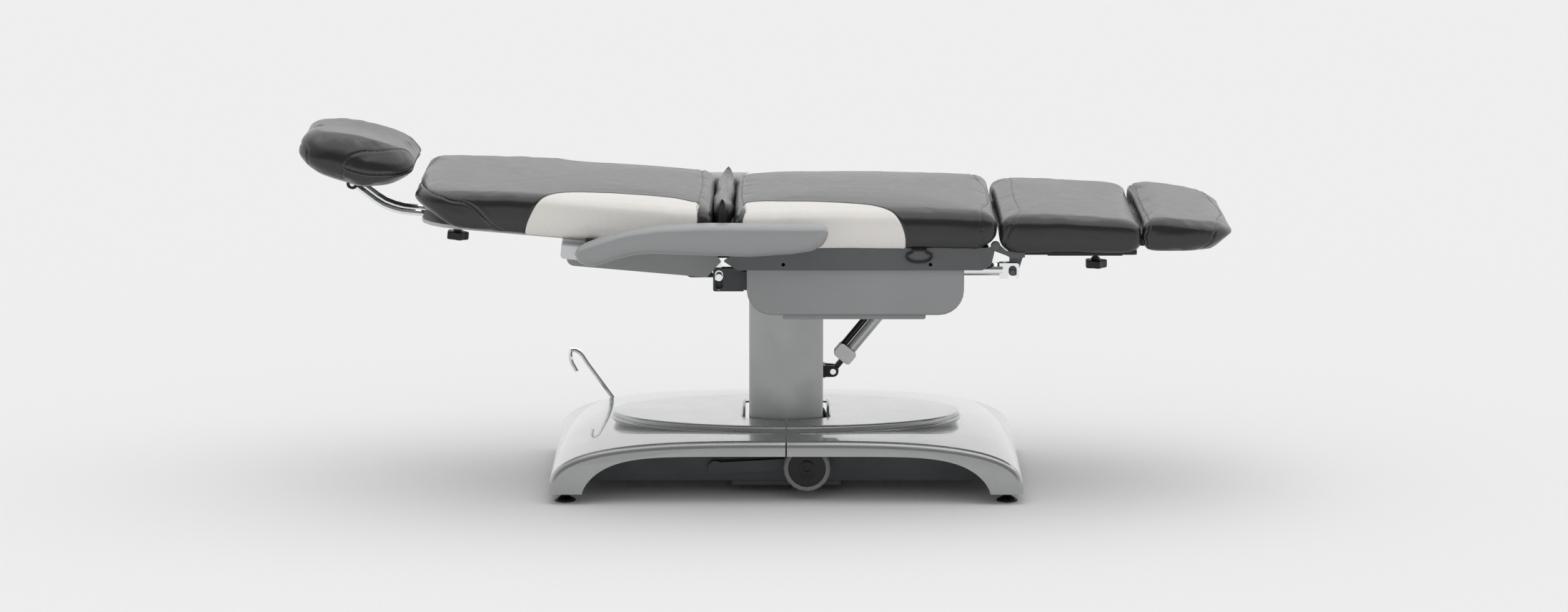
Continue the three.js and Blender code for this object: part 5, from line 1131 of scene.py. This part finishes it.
def refine_node(node, bevel, before=None):
    """A copy of a CAD node with merged points, small rounded edges and smooth shading."""
    obj = linked(node + "_made", frame["nodes"][node].data.copy())

    def work(bm):
        bmesh.ops.remove_doubles(bm, verts=bm.verts, dist=MERGE)
        bmesh.ops.dissolve_limit(bm, angle_limit=math.radians(FLAT), verts=bm.verts, edges=bm.edges)

    edit(obj, work)
    if before:
        before(obj)
    if bevel:
        modifier = obj.modifiers.new("edges", "BEVEL")
        modifier.width = bevel * MM
        modifier.segments = 2
        modifier.limit_method = "ANGLE"
        modifier.angle_limit = math.radians(ROUNDED_FROM)
        modifier.use_clamp_overlap = True
        modifier.miter_outer = "MITER_ARC"
        baked(obj, node + "_made")
    coat(obj, NODE_SLOT[node])
    smooth_by_angle(obj, SHARP_FROM)
    flatten = obj.modifiers.new("normals", "WEIGHTED_NORMAL")
    flatten.keep_sharp = True
    baked(obj, node + "_made")
    if node in PAINTED:
        PAINTED[node](obj)
    return dress(obj, NODE_BODY[node], node)


def round_sides(obj):
    """Rounds the outlines of a casing's near and far sides by 8 mm."""
    reach = max(abs(v.co.y) for v in obj.data.vertices)
    round_edges(obj, 8 * MM, lambda co: abs(co.y) > reach - 0.3 * MM, 5)


# The width of each piece's rounded edges
REFINED = {
    "column_moving_tube": 1.2, "seat_plate_near": 0.7, "seat_plate_far": 0.7, "motor_casing": 0.5,
    "casing_tray": 1.5, "back_housing": 1.2, "seat_board": 0.6, "back_board": 0.8, "leg_board": 0.6,
    "foot_board": 0.6, "headrest_board": 0.5, "leg_bracket_near": 0.5, "leg_bracket_far": 0.5,
    "back_hinge_plate_near": 0.5, "back_hinge_plate_far": 0.5, "tilt_bracket": 0.4, "tilt_motor": 0.5,
    "back_rod_fork": 0.4, "back_drive": 0.6, "leg_drive": 0.6, "back_lever": 0.4, "arm_carrier": 0.5,
    "head_sleeve": 0.8, "base_crossbar_head": 0.5, "base_crossbar_foot": 0.5, "base_rail_near": 0.5,
    "base_rail_far": 0.5, "base_plate": 0.5, "column_fixed_tube": 0, "column_middle_tube": 0,
    "tilt_shaft": 0.5, "tilt_rod": 0.4, "tilt_guide_tube": 0.3, "leg_rod": 0.4, "wheel_carriage": 0.5,
    "wheel_lever": 0.3, "head_bar": 0.3, "head_knob": 0.5, "leg_knob": 0.5, "arm_knob_near": 0.3,
    "arm_knob_far": 0.3, "pull_loop": 0.2, "wheel_tyre_near": 0.8, "wheel_tyre_far": 0.8,
    "wheel_hub_near": 0.4, "wheel_hub_far": 0.4, "levelling_foot_head_near": 0.5,
    "levelling_foot_head_far": 0.5, "levelling_foot_foot_near": 0.5, "levelling_foot_foot_far": 0.5,
}


# Tilt drive: its lower pin (x, z), its direction, the collar and the motor tube beside the guide tube
TILT = dict(
    pin=(101, 232), toward=(179, 218), collar=(30, 62), radius=13, shift=25, slim=7, near=19, light=12,
    pin_radius=6.5, pin_from=-17, pin_to=-14.5,
)
TILT_AHEAD = np.array(TILT["toward"]) / math.hypot(*TILT["toward"])


def tilt_own(points):
    """Row-frame metres to (along, across) millimetres of the tilt drive."""
    p = np.asarray(points) / MM - [BASE_X, 0, 0]
    flat = p[..., [0, 2]] - TILT["pin"]
    return flat @ TILT_AHEAD, flat @ np.array([-TILT_AHEAD[1], TILT_AHEAD[0]])


def slim_motor(obj):
    """Brings the motor tube in close to the guide tube, and the collar's side with it."""
    t = TILT
    for vertex in obj.data.vertices:
        along, across = tilt_own(vertex.co)
        y = vertex.co.y / MM
        ring = math.hypot(across - t["shift"], y)
        if along > t["collar"][1] - 1 and abs(ring - t["radius"]) < 0.5:
            now = t["near"] + (across - t["shift"]) * t["slim"] / t["radius"]
            vertex.co.y *= t["slim"] / t["radius"]
        elif along < t["collar"][1] + 1 and across > t["shift"]:
            now = across - (t["shift"] - t["near"]) - (t["radius"] - t["slim"])
        else:
            continue
        vertex.co.x += (across - now) * TILT_AHEAD[1] * MM
        vertex.co.z -= (across - now) * TILT_AHEAD[0] * MM


def paint(obj, finish, chosen):
    """Gives another finish to the faces whose middles chosen picks."""
    obj.data.materials.append(FINISHES[finish])
    number = len(obj.data.materials) - 1
    for face in obj.data.polygons:
        if chosen(face.center):
            face.material_index = number


def paint_collar(obj):
    """The collar is bare metal on the guide tube's side."""
    def chosen(centre):
        along, across = tilt_own(centre)
        start, end = TILT["collar"]
        return start - 6 < along < end + 2 and across < TILT["light"]

    paint(obj, "light_alloy", chosen)


def add_solid(obj, solid):
    """Adds a separate closed solid to a piece's mesh."""
    both = bmesh.new()
    both.from_mesh(obj.data)
    both.from_mesh(solid.data)
    both.to_mesh(obj.data)
    both.free()
    bpy.data.objects.remove(solid)


def bracket_pin(obj):
    """A low head on the near end of the bracket's pin."""
    x, z = TILT["pin"]
    angles = [2 * math.pi * k / 32 for k in range(32)]
    radius = TILT["pin_radius"]
    ring = [(x + radius * math.cos(a), z + radius * math.sin(a)) for a in angles]
    add_solid(obj, slab("pin_head", ring, TILT["pin_from"], TILT["pin_to"]))


def paint_tilt_pin(obj):
    """The bracket's pin head is chromed."""
    def chosen(centre):
        in_reach = math.hypot(*tilt_own(centre)) < TILT["pin_radius"] + 0.5
        return in_reach and centre.y < (TILT["pin_to"] + 0.1) * MM

    paint(obj, "chrome", chosen)


def back_fork(obj):
    """Closes the fork's slot with a thin sheet on its far face."""
    low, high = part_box("back_rod_fork")
    x0, x1 = low.x / MM - BASE_X + 4, low.x / MM - BASE_X + 30
    z0, z1 = low.z / MM + 1, high.z / MM - 1
    sheet = [(x0, z0), (x1, z0), (x1, z1), (x0, z1)]
    far = high.y / MM
    add_solid(obj, slab("sheet", sheet, far + 0.1, far + 0.7))


SPECIAL = {
    "motor_casing": round_sides, "tilt_motor": slim_motor, "tilt_bracket": bracket_pin,
    "back_rod_fork": back_fork,
}
PAINTED = {"tilt_motor": paint_collar, "tilt_bracket": paint_tilt_pin}


# Stage

# The camera, with its focal length and its picture's width in pixels
CAMERA = dict(place=(-4.5, -11300, 2290), pitch=9.63, focal=7460, width=2194, sensor=36, far=100)
# The way that the overhead light shines, and half the floor's width in metres
KEY_TOWARD = (-0.25, -0.12, -1)
FLOOR_HALF = 60


def make_stage(look):
    """Floor, backdrop, lamps, world and camera."""
    scene = bpy.context.scene
    scene.view_settings.view_transform = "Standard"
    data = bpy.data.cameras.new("camera")
    data.sensor_width = CAMERA["sensor"]
    data.lens = CAMERA["sensor"] * CAMERA["focal"] / CAMERA["width"]
    data.clip_end = CAMERA["far"]
    camera = linked("camera", data)
    camera.location = level_place(CAMERA["place"])
    camera.rotation_euler = (math.radians(90 - CAMERA["pitch"]), 0, 0)
    scene.camera = camera

    make_world(look)
    ground = Finish("studio_floor", tuple(look.backdrop), roughness=0.9, Specular_IOR_Level=0.0)
    ground.tint(ground.noise(0.7, 2), 0.998, 1.002)
    size = FLOOR_HALF
    corners = [(-size, -size, 0), (size, -size, 0), (size, size, 0), (-size, size, 0)]
    mesh_object("studio_ground", corners, [(0, 1, 2, 3)], "studio_floor")

    light = bpy.data.lights.new("overhead", "SUN")
    light.energy = look.key
    light.angle = look.key_spread
    lamp = linked("overhead", light)
    lamp.rotation_euler = Vector(KEY_TOWARD).to_track_quat("-Z", "Y").to_euler()


def make_world(look):
    """A studio that is pale behind and above the couch, and dimmer in front of it."""
    world = bpy.data.worlds.new("studio")
    bpy.context.scene.world = world
    world.use_nodes = True
    world.cycles.sampling_method = "NONE"
    tree = world.node_tree
    nodes, links = tree.nodes, tree.links

    def joined(operation, first, second):
        node = nodes.new("ShaderNodeMath")
        node.operation = operation
        for socket, value in zip(node.inputs, (first, second)):
            if isinstance(value, float):
                socket.default_value = value
            else:
                links.new(value, socket)
        return node.outputs[0]

    toward = nodes.new("ShaderNodeTexCoord").outputs["Generated"]
    parts = nodes.new("ShaderNodeSeparateXYZ")
    links.new(toward, parts.inputs["Vector"])
    onto = (look.front, look.behind)
    around = spanned_node(tree, parts.outputs["Y"], (-0.95, 0.25), onto, "SMOOTHSTEP")
    above = spanned_node(tree, parts.outputs["Z"], (0.55, 0.9), (0, 1), "SMOOTHSTEP")
    ceiling = joined("MULTIPLY", above, look.ceiling)
    sides = joined("MULTIPLY", around, joined("SUBTRACT", 1.0, above))
    studio = joined("ADD", sides, ceiling)

    path = nodes.new("ShaderNodeLightPath")
    is_dull = path.outputs["Is Diffuse Ray"]
    on_dull = joined("MULTIPLY", is_dull, look.ambient)
    on_glossy = joined("MULTIPLY", studio, joined("SUBTRACT", 1.0, is_dull))
    lit = nodes["Background"]
    links.new(joined("ADD", on_dull, on_glossy), lit.inputs["Strength"])
    lit.inputs["Color"].default_value = (1, 1, 1, 1)
    shown = nodes.new("ShaderNodeBackground")
    shown.inputs["Color"].default_value = (*look.backdrop, 1)
    mix = nodes.new("ShaderNodeMixShader")
    links.new(path.outputs["Is Camera Ray"], mix.inputs["Fac"])
    links.new(lit.outputs[0], mix.inputs[1])
    links.new(shown.outputs[0], mix.inputs[2])
    links.new(mix.outputs[0], nodes["World Output"].inputs["Surface"])


# Sizes and colours a user may change

class CouchLook(bpy.types.PropertyGroup):
    """Colours and light of the couch and its stage."""

    lacquer: bpy.props.FloatVectorProperty(
        name="Lacquer", description="Silver lacquer of the base covers", subtype="COLOR",
        default=(0.405, 0.41, 0.41), min=0, max=1)
    upholstery: bpy.props.FloatVectorProperty(
        name="Upholstery", description="Dark synthetic leather", subtype="COLOR",
        default=(0.018, 0.0182, 0.0187), min=0, max=1)
    panel: bpy.props.FloatVectorProperty(
        name="Panel", description="Pale side panels", subtype="COLOR", default=(0.78, 0.755, 0.72),
        min=0, max=1)
    backdrop: bpy.props.FloatVectorProperty(
        name="Backdrop", description="Colour of floor and backdrop", subtype="COLOR",
        default=(0.855, 0.855, 0.855), min=0, max=1)
    ambient: bpy.props.FloatProperty(
        name="Ambient", description="Brightness all round that lights dull surfaces", default=0.67,
        min=0, max=2)
    front: bpy.props.FloatProperty(
        name="Front", description="Brightness of the studio in front of the couch", default=0.15,
        min=0, max=2)
    behind: bpy.props.FloatProperty(
        name="Behind", description="Brightness of the studio behind the couch", default=1.0, min=0, max=2)
    ceiling: bpy.props.FloatProperty(
        name="Ceiling", description="Brightness of the ceiling", default=0.7, min=0, max=2)
    key: bpy.props.FloatProperty(
        name="Overhead light", description="Strength of the wide soft light overhead", default=1.09,
        min=0, max=20)
    key_spread: bpy.props.FloatProperty(
        name="Overhead spread", description="Angle that the overhead light fills",
        default=math.radians(85), min=0, max=math.pi, subtype="ANGLE")


class CouchSizes(bpy.types.PropertyGroup):
    """Sizes of the looks that a user may change."""

    voxel: bpy.props.FloatProperty(
        name="Pad fineness", description="Edge length of the padded pieces' mesh before refining",
        default=0.006, min=0.004, max=0.02, subtype="DISTANCE", unit="LENGTH")
    swell: bpy.props.FloatProperty(
        name="Pad swell", description="The most that the filling moves a point", default=0.005, min=0,
        max=0.02, subtype="DISTANCE", unit="LENGTH")


class COUCH_OT_stage(bpy.types.Operator):
    """Makes the floor, lamps, world and camera"""

    bl_idname = "couch.stage"
    bl_label = "Stage"

    def execute(self, context):
        make_stage(context.scene.couch_look)
        return {"FINISHED"}


class COUCH_OT_finishes(bpy.types.Operator):
    """Makes all materials"""

    bl_idname = "couch.finishes"
    bl_label = "Finishes"

    def execute(self, context):
        make_finishes(context.scene.couch_look)
        return {"FINISHED"}


class COUCH_OT_pads(bpy.types.Operator):
    """Makes the five padded sections with their seams"""

    bl_idname = "couch.pads"
    bl_label = "Padded sections"

    def execute(self, context):
        sizes = context.scene.couch_sizes
        common = dict(voxel=sizes.voxel, cap=sizes.swell)
        make_pad("seat_pad", "seat_cushion", SEAT_PAD, level_place, SEAT_SEAMS, panel=SEAT_PANEL,
                 **common)
        make_pad("back_pad", "back_cushion", BACK_PAD, back_place, BACK_SEAMS, panel=BACK_PANEL,
                 pivot=BACK_PIVOT, degrees=BACK_ANGLE, **common)
        make_pad("leg_pad", "leg_cushion", LEG_PAD, level_place, LEG_SEAMS, **common)
        make_pad("foot_pad", "foot_cushion", FOOT_PAD, level_place, FOOT_SEAMS, **common)

        def dish(ring, t):
            across = ring[:, 1] / HEAD_PAD["half"]
            up = np.maximum(ring[:, 2] - 0.5, 0) * 2
            return -HEAD_DISH * (1 - across ** 2) ** 2 * up * np.sin(np.pi * t)

        make_pad("headrest_pad", "headrest_cushion", HEAD_PAD, head_place, HEAD_SEAMS, shift=dish,
                 voxel=min(sizes.voxel, 0.005), cap=sizes.swell)
        return {"FINISHED"}


class COUCH_OT_bolster(bpy.types.Operator):
    """Makes the roll between back and seat"""

    bl_idname = "couch.bolster"
    bl_label = "Gap bolster"

    def execute(self, context):
        make_bolster()
        return {"FINISHED"}


class COUCH_OT_armrests(bpy.types.Operator):
    """Makes both armrests"""

    bl_idname = "couch.armrests"
    bl_label = "Armrests"

    def execute(self, context):
        for side, sign in (("near", -1), ("far", 1)):
            make_armrest(side, sign)
        return {"FINISHED"}


class COUCH_OT_covers(bpy.types.Operator):
    """Makes the lacquered base covers"""

    bl_idname = "couch.covers"
    bl_label = "Base covers"

    def execute(self, context):
        make_covers()
        return {"FINISHED"}


class COUCH_OT_frame(bpy.types.Operator):
    """Softens the edges of the rigid frame pieces and gives them their finishes"""

    bl_idname = "couch.frame"
    bl_label = "Frame pieces"

    def execute(self, context):
        for node, bevel in REFINED.items():
            refine_node(node, bevel, before=SPECIAL.get(node))
        for node, obj in frame["nodes"].items():
            if not obj.hide_render:
                coat(obj, NODE_SLOT[node])
        return {"FINISHED"}


class COUCH_PT_panel(bpy.types.Panel):
    """Lists the couch's tools"""

    bl_idname = "COUCH_PT_panel"
    bl_label = "Treatment couch"
    bl_space_type = "VIEW_3D"
    bl_region_type = "UI"
    bl_category = "Couch"

    def draw(self, context):
        for group in (context.scene.couch_look, context.scene.couch_sizes):
            for name in group.__annotations__:
                self.layout.prop(group, name)
        for operator in OPERATORS:
            self.layout.operator(operator.bl_idname)


OPERATORS = (
    COUCH_OT_finishes, COUCH_OT_stage, COUCH_OT_pads, COUCH_OT_bolster, COUCH_OT_armrests,
    COUCH_OT_covers, COUCH_OT_frame,
)
CLASSES = (CouchLook, CouchSizes, *OPERATORS, COUCH_PT_panel)


def register():
    for cls in CLASSES:
        bpy.utils.register_class(cls)
    bpy.types.Scene.couch_look = bpy.props.PointerProperty(type=CouchLook)
    bpy.types.Scene.couch_sizes = bpy.props.PointerProperty(type=CouchSizes)


def unregister():
    del bpy.types.Scene.couch_look
    del bpy.types.Scene.couch_sizes
    for cls in reversed(CLASSES):
        bpy.utils.unregister_class(cls)


def main():
    register()
    for operator in OPERATORS:
        group, name = operator.bl_idname.split(".")
        getattr(getattr(bpy.ops, group), name)()
    bpy.context.view_layer.update()


if __name__ == "__main__":
    main()
